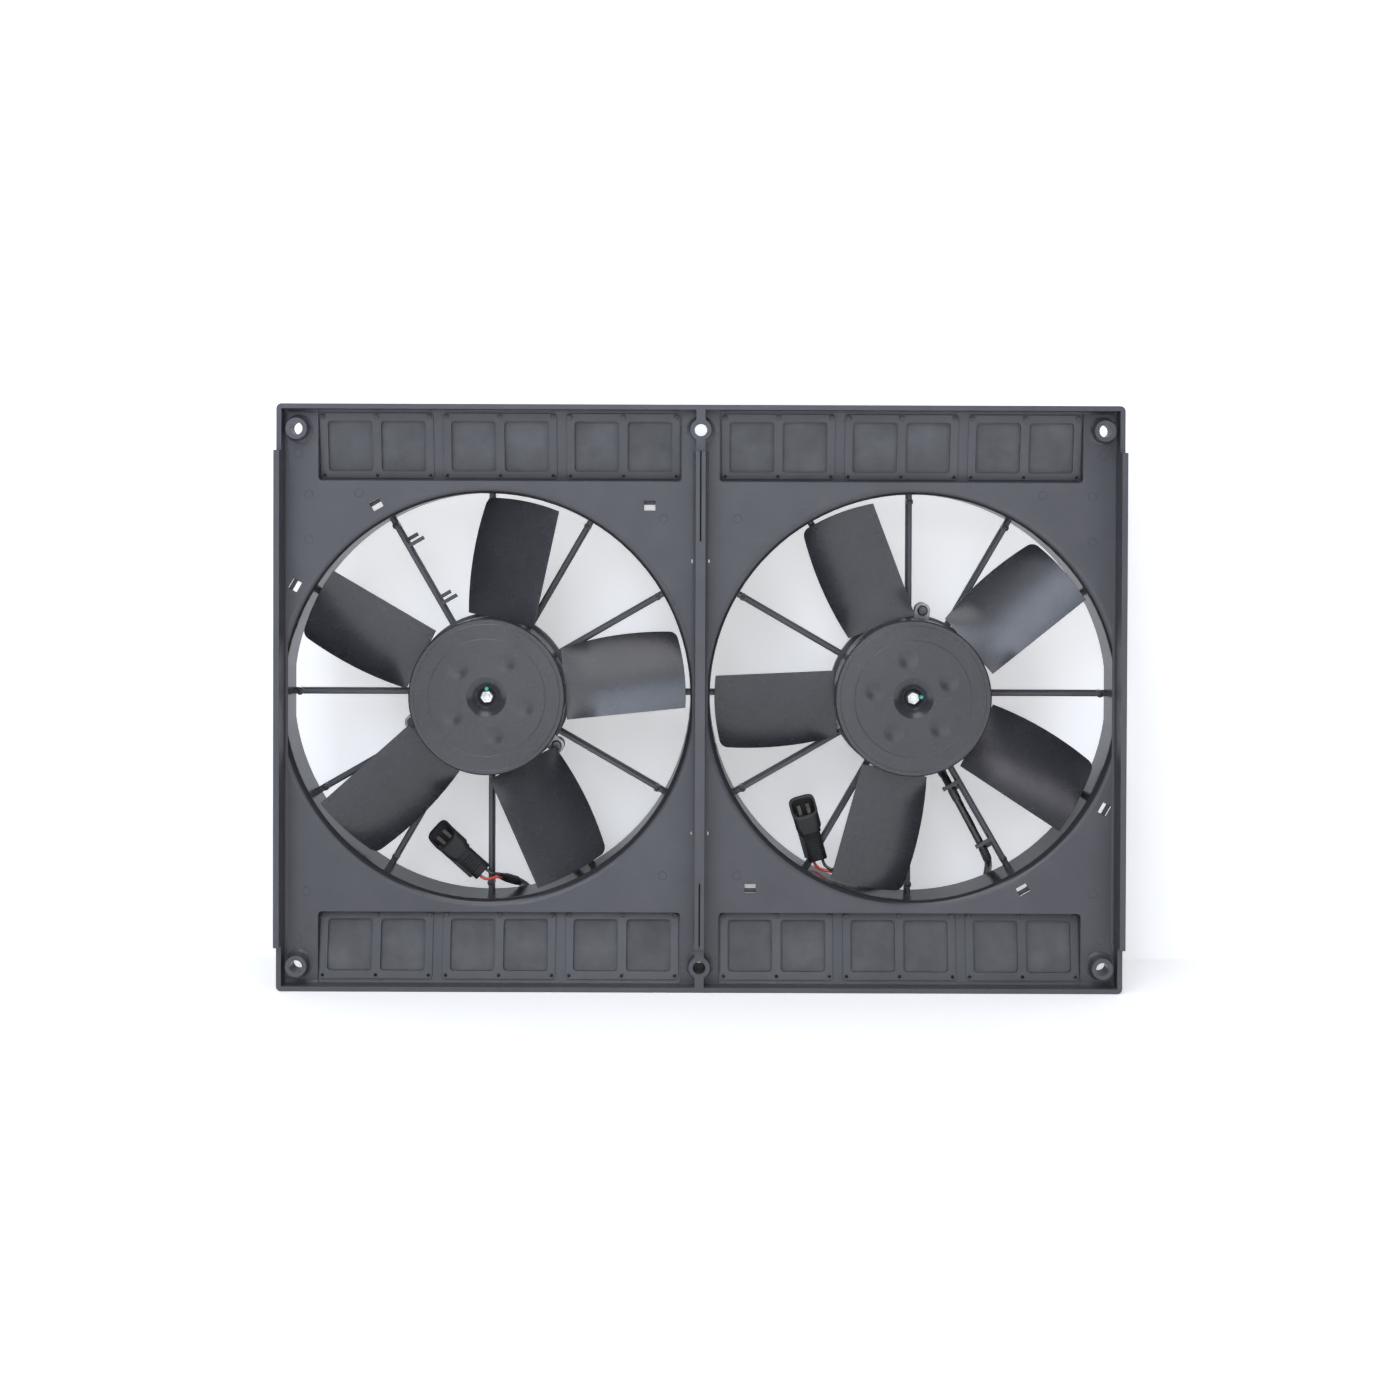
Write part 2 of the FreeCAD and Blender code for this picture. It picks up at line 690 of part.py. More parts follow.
# --------------------------------------------------------------------------------------
# Fans
# --------------------------------------------------------------------------------------
def turned(name, profile):
    """Solid of revolution about Y from a closed outline of (radius, depth) pairs."""
    points = [Vector(float(radius), float(depth), 0) for radius, depth in profile]
    face = feature(name + "_outline", Part.Face(Part.makePolygon(points + points[:1])))
    solid = doc.addObject("Part::Revolution", name)
    solid.Source = face
    solid.Axis = Vector(0, 1, 0)
    solid.Angle = 360
    solid.Solid = True
    return solid


def blade_section(radius, pitch, lead_y):
    """Cambered section across the blade at a radius, wider than the finished blade."""
    lead = -float(S.blade_lead_tip + S.blade_stock_ahead)
    trail = float(S.blade_trail_tip + S.blade_stock_behind)
    thick, camber = float(S.blade_thick), float(S.blade_camber)

    def bow(offset):
        ends = [Vector(radius, lead_y + (z + float(S.blade_lead_tip)) * math.tan(pitch) + offset, z)
                for z in (lead, trail)]
        middle = (ends[0] + ends[1]) * 0.5 + Vector(0, camber, 0)
        return ends, middle

    front, front_middle = bow(-thick / 2)
    back, back_middle = bow(thick / 2)
    return Part.Wire([Part.Arc(front[0], front_middle, front[1]).toShape(),
                      Part.LineSegment(front[1], back[1]).toShape(),
                      Part.Arc(back[1], back_middle, back[0]).toShape(),
                      Part.LineSegment(back[0], front[0]).toShape()])


def blade_outline():
    """The blade seen along the shaft: straight leading edge, bowed trailing edge, round tip."""
    root = float(S.hub_radius - S.hub_skirt)
    tip = float(S.blade_tip_radius)
    lead, trail = float(S.blade_lead_tip), float(S.blade_trail_tip)
    lead_root, lead_tip = Vector(root, 0, -float(S.blade_lead_root)), Vector(math.sqrt(tip ** 2 - lead ** 2), 0, -lead)
    trail_tip, trail_root = Vector(math.sqrt(tip ** 2 - trail ** 2), 0, trail), Vector(root, 0, float(S.blade_trail_root))
    edges = [Part.LineSegment(lead_root, lead_tip).toShape(),
             Part.Arc(lead_tip, Vector(tip, 0, 0), trail_tip).toShape(),
             Part.Arc(trail_tip, Vector(float(S.blade_bow_at), 0, float(S.blade_bow)), trail_root).toShape(),
             Part.LineSegment(trail_root, lead_root).toShape()]
    prism = Part.Face(Part.Wire(edges)).extrude(Vector(0, float(S.ring_back_y), 0))
    corners = [edge for edge in prism.Edges if abs(edge.tangentAt(edge.FirstParameter).y) > 0.99
               and edge.CenterOfMass.x > root + 1 and edge.CenterOfMass.z > 0]
    return prism.makeFillet(float(S.blade_corner), corners)


def blade():
    """One twisted paddle blade along +X."""
    tip_pitch = math.atan((float(S.blade_trail_y) - float(S.blade_lead_y))
                          / float(S.blade_lead_tip + S.blade_trail_tip))
    root_pitch = math.atan((float(S.blade_trail_y) - float(S.blade_root_lead_y))
                           / float(S.blade_lead_root + S.blade_trail_root))
    root = float(S.hub_radius - S.hub_skirt / 2)
    tip = float(S.blade_tip_radius) + 3
    sections = [feature("blade_root", blade_section(root, root_pitch, float(S.blade_root_lead_y))),
                feature("blade_tip", blade_section(tip, tip_pitch, float(S.blade_lead_y)))]
    stock = doc.addObject("Part::Loft", "blade_stock")
    stock.Sections = sections
    stock.Solid = True
    stock.Ruled = True
    return common("blade", stock, feature("blade_outline", blade_outline()))


def hub():
    """Cup hub with a conical recess for the nut and a boss on the shaft."""
    floor_back_y = S.recess_floor_y + S.hub_disc + 0.4
    outline = [(S.shaft_thread_radius + S.running_clearance, S.recess_floor_y),
               (S.recess_floor_radius, S.recess_floor_y),
               (S.recess_mouth_radius, S.hub_front_y),
               (S.hub_radius - S.hub_bevel, S.hub_front_y),
               (S.hub_radius, S.hub_front_y + S.hub_bevel),
               (S.hub_radius, S.hub_back_y),
               (S.hub_radius - S.hub_skirt, S.hub_back_y),
               (S.hub_radius - S.hub_skirt, S.hub_front_y + S.hub_disc),
               (S.recess_mouth_radius + S.hub_disc, S.hub_front_y + S.hub_disc),
               (S.hub_boss_radius + 1.5, floor_back_y),
               (S.hub_boss_radius, S.hub_boss_back_y),
               (S.shaft_radius + S.running_clearance, S.hub_boss_back_y),
               (S.shaft_radius + S.running_clearance, floor_back_y),
               (S.shaft_thread_radius + S.running_clearance, floor_back_y)]
    return turned("hub", outline)


def hub_ribs():
    """Stiffening ribs between the boss and the skirt inside the cup."""
    rib = block("hub_rib", (S.hub_boss_radius - 1, S.hub_radius - S.hub_skirt / 2),
                (S.hub_front_y + S.hub_disc / 2, S.hub_front_y + S.hub_disc * 4), (-0.9, 0.9))
    count = round(float(S.blade_count)) * 2
    return copies("hub_ribs", rib, [turn_about(360 / count * index, 0) for index in range(count)])


def fan():
    """Hub and blades in one moulding, first blade along +X."""
    count = round(float(S.blade_count))
    blades = copies("blades", blade(), [turn_about(360 / count * index, 0) for index in range(count)])
    solid = fuse("fan_solid", hub(), hub_ribs(), blades)
    bore = fuse("fan_bore", rod("fan_bore_thread", S.shaft_thread_radius + S.running_clearance,
                                (S.hub_front_y, S.hub_boss_back_y)),
                rod("fan_bore_shaft", S.shaft_radius + S.running_clearance,
                    (S.recess_floor_y + S.hub_disc + 0.4, S.hub_boss_back_y)))
    return cut("fan", solid, bore)


def fan_nut():
    """Hexagon nut on the floor of the recess."""
    prism = doc.addObject("Part::Prism", "nut_hexagon")
    bind(prism, Polygon=6, Circumradius=S.nut_across_flats / 2 / math.cos(math.pi / 6),
         Height=S.nut_thick)
    place(prism, AXIS_Y, 0.0, S.recess_floor_y - S.nut_thick, 0.0)
    bore = rod("nut_bore", S.shaft_thread_radius + S.running_clearance,
               (S.recess_floor_y - S.nut_thick, S.recess_floor_y))
    return cut("fan_nut", prism, bore)


# --------------------------------------------------------------------------------------
# Motor
# --------------------------------------------------------------------------------------
def motor_shaft():
    """Stepped shaft: threaded nose through the hub, journal from boss to rear bearing."""
    shoulder = S.recess_floor_y + S.hub_disc + 0.4
    return turned("motor_shaft", [(0, S.shaft_front_y), (S.shaft_thread_radius, S.shaft_front_y),
                                  (S.shaft_thread_radius, shoulder), (S.shaft_radius, shoulder),
                                  (S.shaft_radius, S.shaft_back_y), (0, S.shaft_back_y)])


def bearing(name, front_y):
    """Sintered bush round the shaft."""
    inner = S.shaft_radius + S.running_clearance
    back_y = front_y + S.bearing_long
    return turned(name, [(inner, front_y), (S.bearing_radius, front_y),
                         (S.bearing_radius, back_y), (inner, back_y)])


def motor_bell():
    """Front bell: bearing boss, flange on the motor ring and three screw ears."""
    front_y = S.spoke_front_y - S.bell_thick
    inner = S.shaft_radius + S.part_clearance
    bell = turned("bell_disc", [(inner, S.bell_boss_front_y), (S.bell_boss_radius - 1, S.bell_boss_front_y),
                                (S.bell_boss_radius, S.bell_boss_front_y + 1), (S.bell_boss_radius, front_y - 2),
                                (S.bell_boss_radius + 2, front_y), (S.bell_radius, front_y),
                                (S.bell_radius, S.spoke_front_y), (S.bearing_radius, S.spoke_front_y),
                                (S.bearing_radius, S.bell_boss_front_y + 2),
                                (inner, S.bell_boss_front_y + 2)])
    depth = (front_y, S.spoke_front_y)
    arm = block("ear_arm", (S.bell_radius - 6, S.ear_at), depth, (-S.ear_radius, S.ear_radius))
    ear = fuse("ear", arm, rod("ear_round", S.ear_radius, depth, S.ear_at))
    hole = rod("ear_hole", S.ear_screw_radius + S.part_clearance, depth, S.ear_at)
    turns = [turn_about(float(S.ear_first_angle) + 120 * index, 0) for index in range(3)]
    return cut("motor_bell", fuse("bell_solid", bell, copies("ears", ear, turns)),
               copies("ear_holes", hole, turns))


def motor_screws():
    """Three pan-head screws through the ears into the motor ring."""
    head_y = S.spoke_front_y - S.bell_thick - S.screw_head_high
    radius = S.ear_screw_radius - S.running_clearance
    screw = turned("screw", [(0, head_y), (S.screw_head_radius - 0.8, head_y),
                             (S.screw_head_radius, head_y + 0.8),
                             (S.screw_head_radius, head_y + S.screw_head_high),
                             (radius, head_y + S.screw_head_high),
                             (radius, head_y + S.screw_head_high + S.screw_long),
                             (0, head_y + S.screw_head_high + S.screw_long)])
    turns = [turn_about(float(S.ear_first_angle) + 120 * index, 0) for index in range(3)]
    return copies("motor_screws", screw, [turn.multiply(Placement(Vector(float(S.ear_at), 0, 0), Rotation()))
                                          for turn in turns])


def motor_can():
    """Drawn can behind the motor ring with a dome for the rear bearing."""
    inner = S.can_radius - S.can_wall
    disc_y = S.can_back_y - S.can_wall
    can = turned("can_shell", [(inner, S.spoke_front_y), (S.can_radius, S.spoke_front_y),
                               (S.can_radius, S.can_back_y - 3), (S.can_radius - 3, S.can_back_y),
                               (S.can_dome_radius, S.can_back_y),
                               (S.can_dome_radius - 1, S.can_dome_back_y), (0, S.can_dome_back_y),
                               (0, S.can_dome_back_y - S.can_wall),
                               (S.bearing_radius, S.can_dome_back_y - S.can_wall),
                               (S.bearing_radius, disc_y), (inner, disc_y)])
    window = rod_along_lead("grommet_seat", S.grommet_radius - 1.4, (S.can_radius - 6, S.can_radius + 2))
    return cut("motor_can", can, window)


def rod_along_lead(name, radius, reach):
    """Cylinder along the lead's way out of the can."""
    cylinder = doc.addObject("Part::Cylinder", name)
    bind(cylinder, Radius=radius, Height=span(reach))
    outward = Rotation(Vector(0, 0, 1), spoke_point(1, 0, 0) - spoke_point(0, 0, 0))
    cylinder.Placement = Placement(spoke_point(float(reach[0]), LEAD_SIDE, LEAD_EXIT_Y), outward)
    return cylinder


def motor_grommet():
    """Rubber grommet in the can where the lead comes out."""
    flange = rod_along_lead("grommet_flange", S.grommet_radius,
                            (S.can_radius, S.can_radius + S.grommet_long))
    neck = rod_along_lead("grommet_neck", S.grommet_radius - 1.4, (S.can_radius - 5, S.can_radius + 1))
    clear = rod("grommet_clear", S.can_radius, (S.spoke_front_y, S.can_back_y))
    return fuse("motor_grommet", cut("grommet_outside", flange, clear), neck)


def motor_magnets():
    """Two arc magnets inside the can."""
    outer = S.can_radius - S.can_wall
    depth = (S.magnet_front_y, S.magnet_front_y + S.magnet_long)
    ring = tube("magnet_ring", outer, outer - S.magnet_thick, depth)
    gap = (180 - float(S.magnet_span)) / 2
    reach = float(S.can_radius) * 1.5
    corner = Vector(0, 0, 0)
    wedge = Part.Face(Part.makePolygon([corner,
                                        Vector(reach * math.cos(math.radians(gap)), 0,
                                               reach * math.sin(math.radians(gap))),
                                        Vector(0, 0, reach * 1.5),
                                        Vector(-reach * math.cos(math.radians(gap)), 0,
                                               reach * math.sin(math.radians(gap))), corner]))
    sector = feature("magnet_sector", wedge.extrude(Vector(0, float(S.can_back_y), 0)))
    arc = common("magnet_arc", ring, sector)
    opening = math.degrees(SPOKE_TURN)
    return copies("motor_magnets", arc, [turn_about(opening, 0), turn_about(opening + 180, 0)])


def core_radius():
    """Outer radius of the armature core, an air gap inside the magnets."""
    return S.can_radius - S.can_wall - S.magnet_thick - S.air_gap


def slot_turns():
    """Turns of the armature's slots."""
    count = round(float(S.core_slots))
    return [turn_about(360 / count * index, 0) for index in range(count)]


def armature_core():
    """Slotted lamination stack pressed on the shaft."""
    depth = (S.core_front_y, S.core_front_y + S.core_long)
    stack = tube("core_stack", core_radius(), S.shaft_radius + S.running_clearance, depth)
    half = S.core_slot_wide / 2
    slot = block("core_slot", (S.core_slot_floor, core_radius() + 1), depth, (-half, half))
    return cut("armature_core", stack, copies("core_slot_ring", slot, slot_turns()))


def armature_winding():
    """End turns in front of and behind the core, joined through its slots."""
    half = S.core_slot_wide / 2 - S.part_clearance
    front_y, back_y = S.core_front_y - S.winding_overhang, S.core_front_y + S.core_long
    inner = S.core_slot_floor - 6
    gap = S.part_clearance
    front = tube("winding_front", S.winding_radius, inner, (front_y, S.core_front_y - gap))
    back = tube("winding_back", S.winding_radius, inner, (back_y + gap, back_y + S.winding_overhang))
    bar = block("winding_bar", (S.core_slot_floor + gap, S.winding_radius), (front_y, back_y + gap * 2),
                (-half, half))
    return fuse("armature_winding", front, back, copies("winding_bars", bar, slot_turns()))


def commutator_depth():
    """Front and back of the commutator on the shaft."""
    front_y = S.core_front_y + S.core_long + S.winding_overhang + 1
    return (front_y, front_y + S.commutator_long)


def commutator():
    """Copper commutator with a riser collar."""
    front_y, back_y = commutator_depth()
    inner = S.shaft_radius + S.running_clearance
    return turned("commutator", [(inner, front_y - 0.7), (S.commutator_radius + 2, front_y - 0.7),
                                 (S.commutator_radius + 2, front_y + 0.8),
                                 (S.commutator_radius, front_y + 0.8),
                                 (S.commutator_radius, back_y), (inner, back_y)])


def brush_pair():
    """Two carbon brushes, one on each side of the commutator."""
    _, back_y = commutator_depth()
    start = S.commutator_radius + S.part_clearance
    half = S.brush_wide / 2
    brush = block("brush", (start, start + S.brush_long), (back_y - S.brush_thick, back_y), (-half, half))
    return copies("motor_brushes", brush, [turn_about(0, 0), turn_about(180, 0)])


def brush_holder():
    """Moulded plate behind the brushes with a pair of guide rails for each."""
    _, back_y = commutator_depth()
    plate_depth = (back_y, back_y + S.holder_thick)
    plate = tube("holder_plate", S.can_radius - S.can_wall - S.part_clearance,
                 S.shaft_radius + 4, plate_depth)
    start = S.commutator_radius + 3
    near = S.brush_wide / 2 + S.part_clearance
    rail = block("holder_rail", (start, start + S.brush_long), (back_y - S.brush_thick, back_y),
                 (near, near + 1.6))
    other = block("holder_rail_other", (start, start + S.brush_long), (back_y - S.brush_thick, back_y),
                  (-(near + 1.6), -near))
    rails = copies("holder_rails", fuse("holder_rail_pair", rail, other), [turn_about(0, 0), turn_about(180, 0)])
    return fuse("brush_holder", plate, rails)


# --------------------------------------------------------------------------------------
# Leads: points in the frame of one throat, X and Z from the ring's centre
# --------------------------------------------------------------------------------------
LEAD_SIDE = 7.5
LEAD_EXIT_Y = 79.0
SPOKE_TURN = math.radians(-60)


def spoke_point(along, aside, depth):
    """Point beside the clipped spoke: distance along it, off its lower side, and depth."""
    return Vector(along * math.cos(SPOKE_TURN) + aside * math.sin(SPOKE_TURN), depth,
                  along * math.sin(SPOKE_TURN) - aside * math.cos(SPOKE_TURN))


CLIPPED_ROUTE = [spoke_point(53.1, 7.5, 79.0), spoke_point(63.0, 7.5, 79.0), spoke_point(74.5, 7.7, 61.8),
                 spoke_point(106.0, 8.5, 61.2), spoke_point(142.0, 9.8, 61.4),
                 spoke_point(151.5, 12.0, 69.5), Vector(63.5, 80.0, -153.0)]
LEAD_ROUTES = {
    "left": CLIPPED_ROUTE + [Vector(49.0, 83.0, -162.0), Vector(32.0, 79.5, -161.5),
                             Vector(22.5, 69.5, -151.5), Vector(17.0, 58.0, -147.5),
                             Vector(8.5, 50.8, -143.8)],
    "right": CLIPPED_ROUTE + [Vector(49.0, 83.0, -163.0), Vector(24.0, 82.0, -167.0),
                              Vector(-6.0, 79.0, -163.0), Vector(-29.0, 72.0, -149.5),
                              Vector(-46.0, 60.0, -141.0), Vector(-58.5, 51.0, -138.8)],
}
CONNECTOR_BACKS = {"left": Vector(-5.8, 0, -140.8), "right": Vector(-70.6, 0, -130.4)}
CONNECTOR_TURNS = {"left": 138.0, "right": 106.0}


def rounded_path(points):
    """Straight runs joined by tangent arcs as large as the shorter run allows."""
    edges, start, radii = [], points[0], []
    for before, corner, after in zip(points, points[1:], points[2:]):
        back, ahead = before - corner, after - corner
        reach = 0.45 * min(back.Length, ahead.Length)
        half_turn = (math.pi - back.getAngle(ahead)) / 2
        radius = reach / math.tan(half_turn)
        radii.append(radius)
        back.normalize()
        ahead.normalize()
        enter, leave = corner + back * reach, corner + ahead * reach
        inward = back + ahead
        inward.normalize()
        middle = corner + inward * (radius / math.cos(half_turn) - radius)
        edges.append(Part.LineSegment(start, enter).toShape())
        edges.append(Part.Arc(enter, middle, leave).toShape())
        start = leave
    edges.append(Part.LineSegment(start, points[-1]).toShape())
    return Part.Wire(edges), radii


def swept(name, points, diameter):
    """Round tube of a lead along its route, its volume checked against its length."""
    path, radii = rounded_path(points)
    section = Part.Wire(Part.makeCircle(diameter / 2, points[0], points[1] - points[0]))
    solid = path.makePipeShell([section], True, False)
    expected = path.Length * math.pi * diameter ** 2 / 4
    if abs(solid.Volume - expected) > 0.01 * expected:
        raise ValueError(f"{name}: the swept volume {solid.Volume:.1f} isn't {expected:.1f}")
    print(f"{name}: {path.Length:.1f} long, radii " + ", ".join(f"{radius:.1f}" for radius in radii))
    return feature(name, solid)


def connector_frame(side):
    """Placement of a connector: its X from the wire end to the mouth."""
    back = CONNECTOR_BACKS[side]
    turn = Rotation(Vector(0, -1, 0), CONNECTOR_TURNS[side])
    return Placement(Vector(back.x, float(S.connector_y), back.z), turn)


def bar(name, x, wide, high, corner=None):
    """Block centred on the connector's axis between two stations along it."""
    solid = block(name, x, (-(high / 2), high / 2), (-(wide / 2), wide / 2))
    if corner is None:
        return solid
    rounded = doc.addObject("Part::Fillet", name + "_round")
    rounded.Base = solid
    rounded.Edges = [(edge, corner, corner) for edge in (9, 10, 11, 12)]
    return rounded


def terminal_sides():
    """Offsets of the two terminals across the connector."""
    return [S.terminal_pitch / 2 * side for side in (-1, 1)]


def connector_housing():
    """Sealed two-way housing: tail, collar, flared mouth, latch ribs and a two-way cavity."""
    tail_end = S.connector_tail_long
    tail = bar("connector_tail_bar", (0.0, tail_end + 2), S.connector_tail_wide, S.connector_tail_high, 2.4)
    head = bar("connector_head", (tail_end, S.connector_long), S.connector_wide, S.connector_high, 3.2)
    collar = bar("connector_collar", (tail_end - 3, tail_end), S.connector_tail_wide + 2,
                 S.connector_tail_high + 1, 2.4)
    side = S.connector_tail_wide / 2
    ribs = [block(f"latch_rib_{index}", (4.0, S.connector_long - 9),
                  (S.connector_tail_high / 2 * place_y - 0.8, S.connector_tail_high / 2 * place_y + 0.8),
                  (-(S.connector_wide / 2), -(side - 1))) for index, place_y in ((0, -0.6), (1, 0.6))]
    wall = S.connector_wall
    mouth = bar("connector_mouth", (S.connector_long - S.connector_cavity, S.connector_long),
                S.connector_wide - wall * 2, S.connector_high - wall * 2, 1.8)
    divider = block("connector_divider", (S.connector_long - S.connector_cavity, S.connector_long - 5),
                    (-(S.connector_high / 2 - wall), S.connector_high / 2 - wall), (-0.7, 0.7))
    bores = [rod_along_x(f"wire_bore_{index}", S.wire_diameter / 2 + S.part_clearance,
                         (0.0, S.connector_long - S.connector_cavity), offset)
             for index, offset in enumerate(terminal_sides())]
    seat = bar("seal_seat", (0.0, S.seal_long), S.connector_tail_wide - wall * 2,
               S.connector_tail_high - wall * 2, 1.6)
    shell = cut("connector_shell", fuse("connector_solid", tail, head, collar, *ribs), mouth, seat, *bores)
    return fuse("connector_housing", shell, divider)


def rod_along_x(name, radius, x, z):
    """Cylinder along the connector's axis at a side offset."""
    cylinder = doc.addObject("Part::Cylinder", name)
    bind(cylinder, Radius=radius, Height=span(x))
    return place(cylinder, Rotation(Vector(0, 1, 0), 90), x[0], 0.0, z)


def connector_terminals():
    """Two blades standing in the mouth."""
    start = S.connector_long - S.connector_cavity
    blades = []
    for index, offset in enumerate(terminal_sides()):
        barrel = rod_along_x(f"terminal_barrel_{index}", S.wire_diameter / 2, (S.seal_long + 3, start), offset)
        tongue = block(f"terminal_blade_{index}", (start - 2, S.connector_long - 7),
                       (-(S.terminal_thick / 2), S.terminal_thick / 2),
                       (offset - S.terminal_wide / 2, offset + S.terminal_wide / 2))
        blades.append(fuse(f"terminal_{index}", barrel, tongue))
    return group("connector_terminals", *blades)


def connector_seal():
    """Rubber wire seal in the tail, holed for the two wires."""
    gap = S.connector_wall + S.running_clearance
    plug = bar("seal_plug", (0.0, S.seal_long), S.connector_tail_wide - gap * 2,
               S.connector_tail_high - gap * 2, 1.6)
    holes = [rod_along_x(f"seal_hole_{index}", S.wire_diameter / 2 + S.running_clearance,
                         (0.0, S.seal_long), offset) for index, offset in enumerate(terminal_sides())]
    return cut("connector_seal", plug, *holes)


def wire_route(side, offset):
    """Points of one wire from the sleeve's end into the seal."""
    frame = connector_frame(side)
    end = LEAD_ROUTES[side][-1]
    leaving = end - LEAD_ROUTES[side][-2]
    leaving.normalize()
    across = frame.Rotation.multVec(Vector(0, 0, 1))
    across = across - leaving * across.dot(leaving)
    across.normalize()
    start = end + across * math.copysign(float(S.wire_diameter) * 0.54, offset)
    outside = frame.multVec(Vector(-5.5, 0, offset))
    inside = frame.multVec(Vector(float(S.seal_long) + 2.5, 0, offset))
    return [start, start + leaving * 3, outside, inside]


# --------------------------------------------------------------------------------------
# Assembly
# --------------------------------------------------------------------------------------
def fan_side(side, offset, turn):
    """All the pieces of one fan, its motor and its lead, moved to their throat."""
    throat = Placement(Vector(float(offset), 0, 0), Rotation())
    turned_fan = throat.multiply(turn_about(turn, 0))
    pieces = {
        "fan": (fan, turned_fan), "fan_nut": (fan_nut, turned_fan),
        "motor_shaft": (motor_shaft, throat), "motor_can": (motor_can, throat),
        "motor_bell": (motor_bell, throat), "motor_screws": (motor_screws, throat),
        "motor_magnets": (motor_magnets, throat), "armature_core": (armature_core, throat),
        "armature_winding": (armature_winding, throat), "commutator": (commutator, throat),
        "brushes": (brush_pair, throat), "brush_holder": (brush_holder, throat),
        "front_bearing": (lambda: bearing("front_bearing", S.bell_boss_front_y + 2.5), throat),
        "rear_bearing": (lambda: bearing("rear_bearing", S.can_back_y - S.can_wall + 0.3), throat),
        "motor_grommet": (motor_grommet, throat),
        "connector_housing": (connector_housing, throat.multiply(connector_frame(side))),
        "connector_terminals": (connector_terminals, throat.multiply(connector_frame(side))),
        "connector_seal": (connector_seal, throat.multiply(connector_frame(side))),
    }
    placed = [copies(f"{side}_{name}", make(), [placement]) for name, (make, placement) in pieces.items()]
    sleeve = swept("lead_sleeve", LEAD_ROUTES[side], float(S.sleeve_diameter))
    placed.append(copies(f"{side}_lead_sleeve", sleeve, [throat]))
    for colour, sign in (("red", 1), ("black", -1)):
        route = wire_route(side, float(S.terminal_pitch) / 2 * sign)
        placed.append(copies(f"{side}_wire_{colour}", swept(f"wire_{colour}", route, float(S.wire_diameter)),
                             [throat]))
    return placed


def check(pieces):
    """Stop if any object failed or any piece isn't a sound solid."""
    failed = [obj.Name for obj in doc.Objects if "Invalid" in obj.State or "Error" in obj.State]
    if failed:
        raise RuntimeError("failed objects: " + ", ".join(failed))
    for piece in pieces:
        if piece.Shape.isNull() or not piece.Shape.isValid() or not piece.Shape.Solids:
            raise RuntimeError(piece.Label + " isn't a valid solid")


def main():
    """Build every piece, check it and write its file."""
    pieces = [shroud_moulding()]
    pieces += flaps()
    pieces += fan_side("left", -ring_x, float(S.left_fan_turn))
    pieces += fan_side("right", ring_x, float(S.right_fan_turn))
    doc.recompute()
    check(pieces)
    os.makedirs("parts", exist_ok=True)
    for piece in pieces:
        piece.Shape.exportStep(f"parts/{piece.Label}.step")
    print(f"{len(pieces)} pieces")


main()
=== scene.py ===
"""Looks of a twin radiator fan shroud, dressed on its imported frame.

The moulding, fans and motors keep their solids and get full finishes. The rubber flaps and the lead
sleeves are soft, so they are modelled here and stand for their plain solids, as are the connector
housings with their slanted mouths.
"""

import logging
import math
from dataclasses import dataclass, field
from enum import Enum

import bmesh
import bpy
import numpy as np
from mathutils import Euler, Matrix, Vector


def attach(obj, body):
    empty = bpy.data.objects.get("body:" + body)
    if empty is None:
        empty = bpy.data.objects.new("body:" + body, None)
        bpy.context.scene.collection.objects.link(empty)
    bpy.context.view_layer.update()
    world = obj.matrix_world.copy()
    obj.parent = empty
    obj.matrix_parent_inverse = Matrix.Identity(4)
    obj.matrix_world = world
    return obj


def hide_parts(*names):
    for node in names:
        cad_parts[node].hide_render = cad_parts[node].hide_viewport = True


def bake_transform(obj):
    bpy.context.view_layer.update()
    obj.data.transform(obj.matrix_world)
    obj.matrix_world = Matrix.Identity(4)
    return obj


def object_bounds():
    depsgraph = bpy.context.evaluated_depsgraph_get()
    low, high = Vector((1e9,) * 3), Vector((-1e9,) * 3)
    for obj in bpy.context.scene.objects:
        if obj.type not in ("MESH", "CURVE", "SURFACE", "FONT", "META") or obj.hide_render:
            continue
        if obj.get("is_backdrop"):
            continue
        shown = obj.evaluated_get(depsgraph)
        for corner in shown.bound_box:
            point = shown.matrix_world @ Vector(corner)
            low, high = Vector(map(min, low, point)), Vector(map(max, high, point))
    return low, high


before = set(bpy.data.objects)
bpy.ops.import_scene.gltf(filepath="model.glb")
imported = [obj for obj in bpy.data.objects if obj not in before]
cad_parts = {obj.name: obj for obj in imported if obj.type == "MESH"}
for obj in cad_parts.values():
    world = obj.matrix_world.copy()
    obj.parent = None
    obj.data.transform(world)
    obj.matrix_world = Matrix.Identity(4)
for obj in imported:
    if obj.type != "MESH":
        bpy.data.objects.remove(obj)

log = logging.getLogger("fan_shroud")
MM = 0.001
Point = tuple[float, float, float]


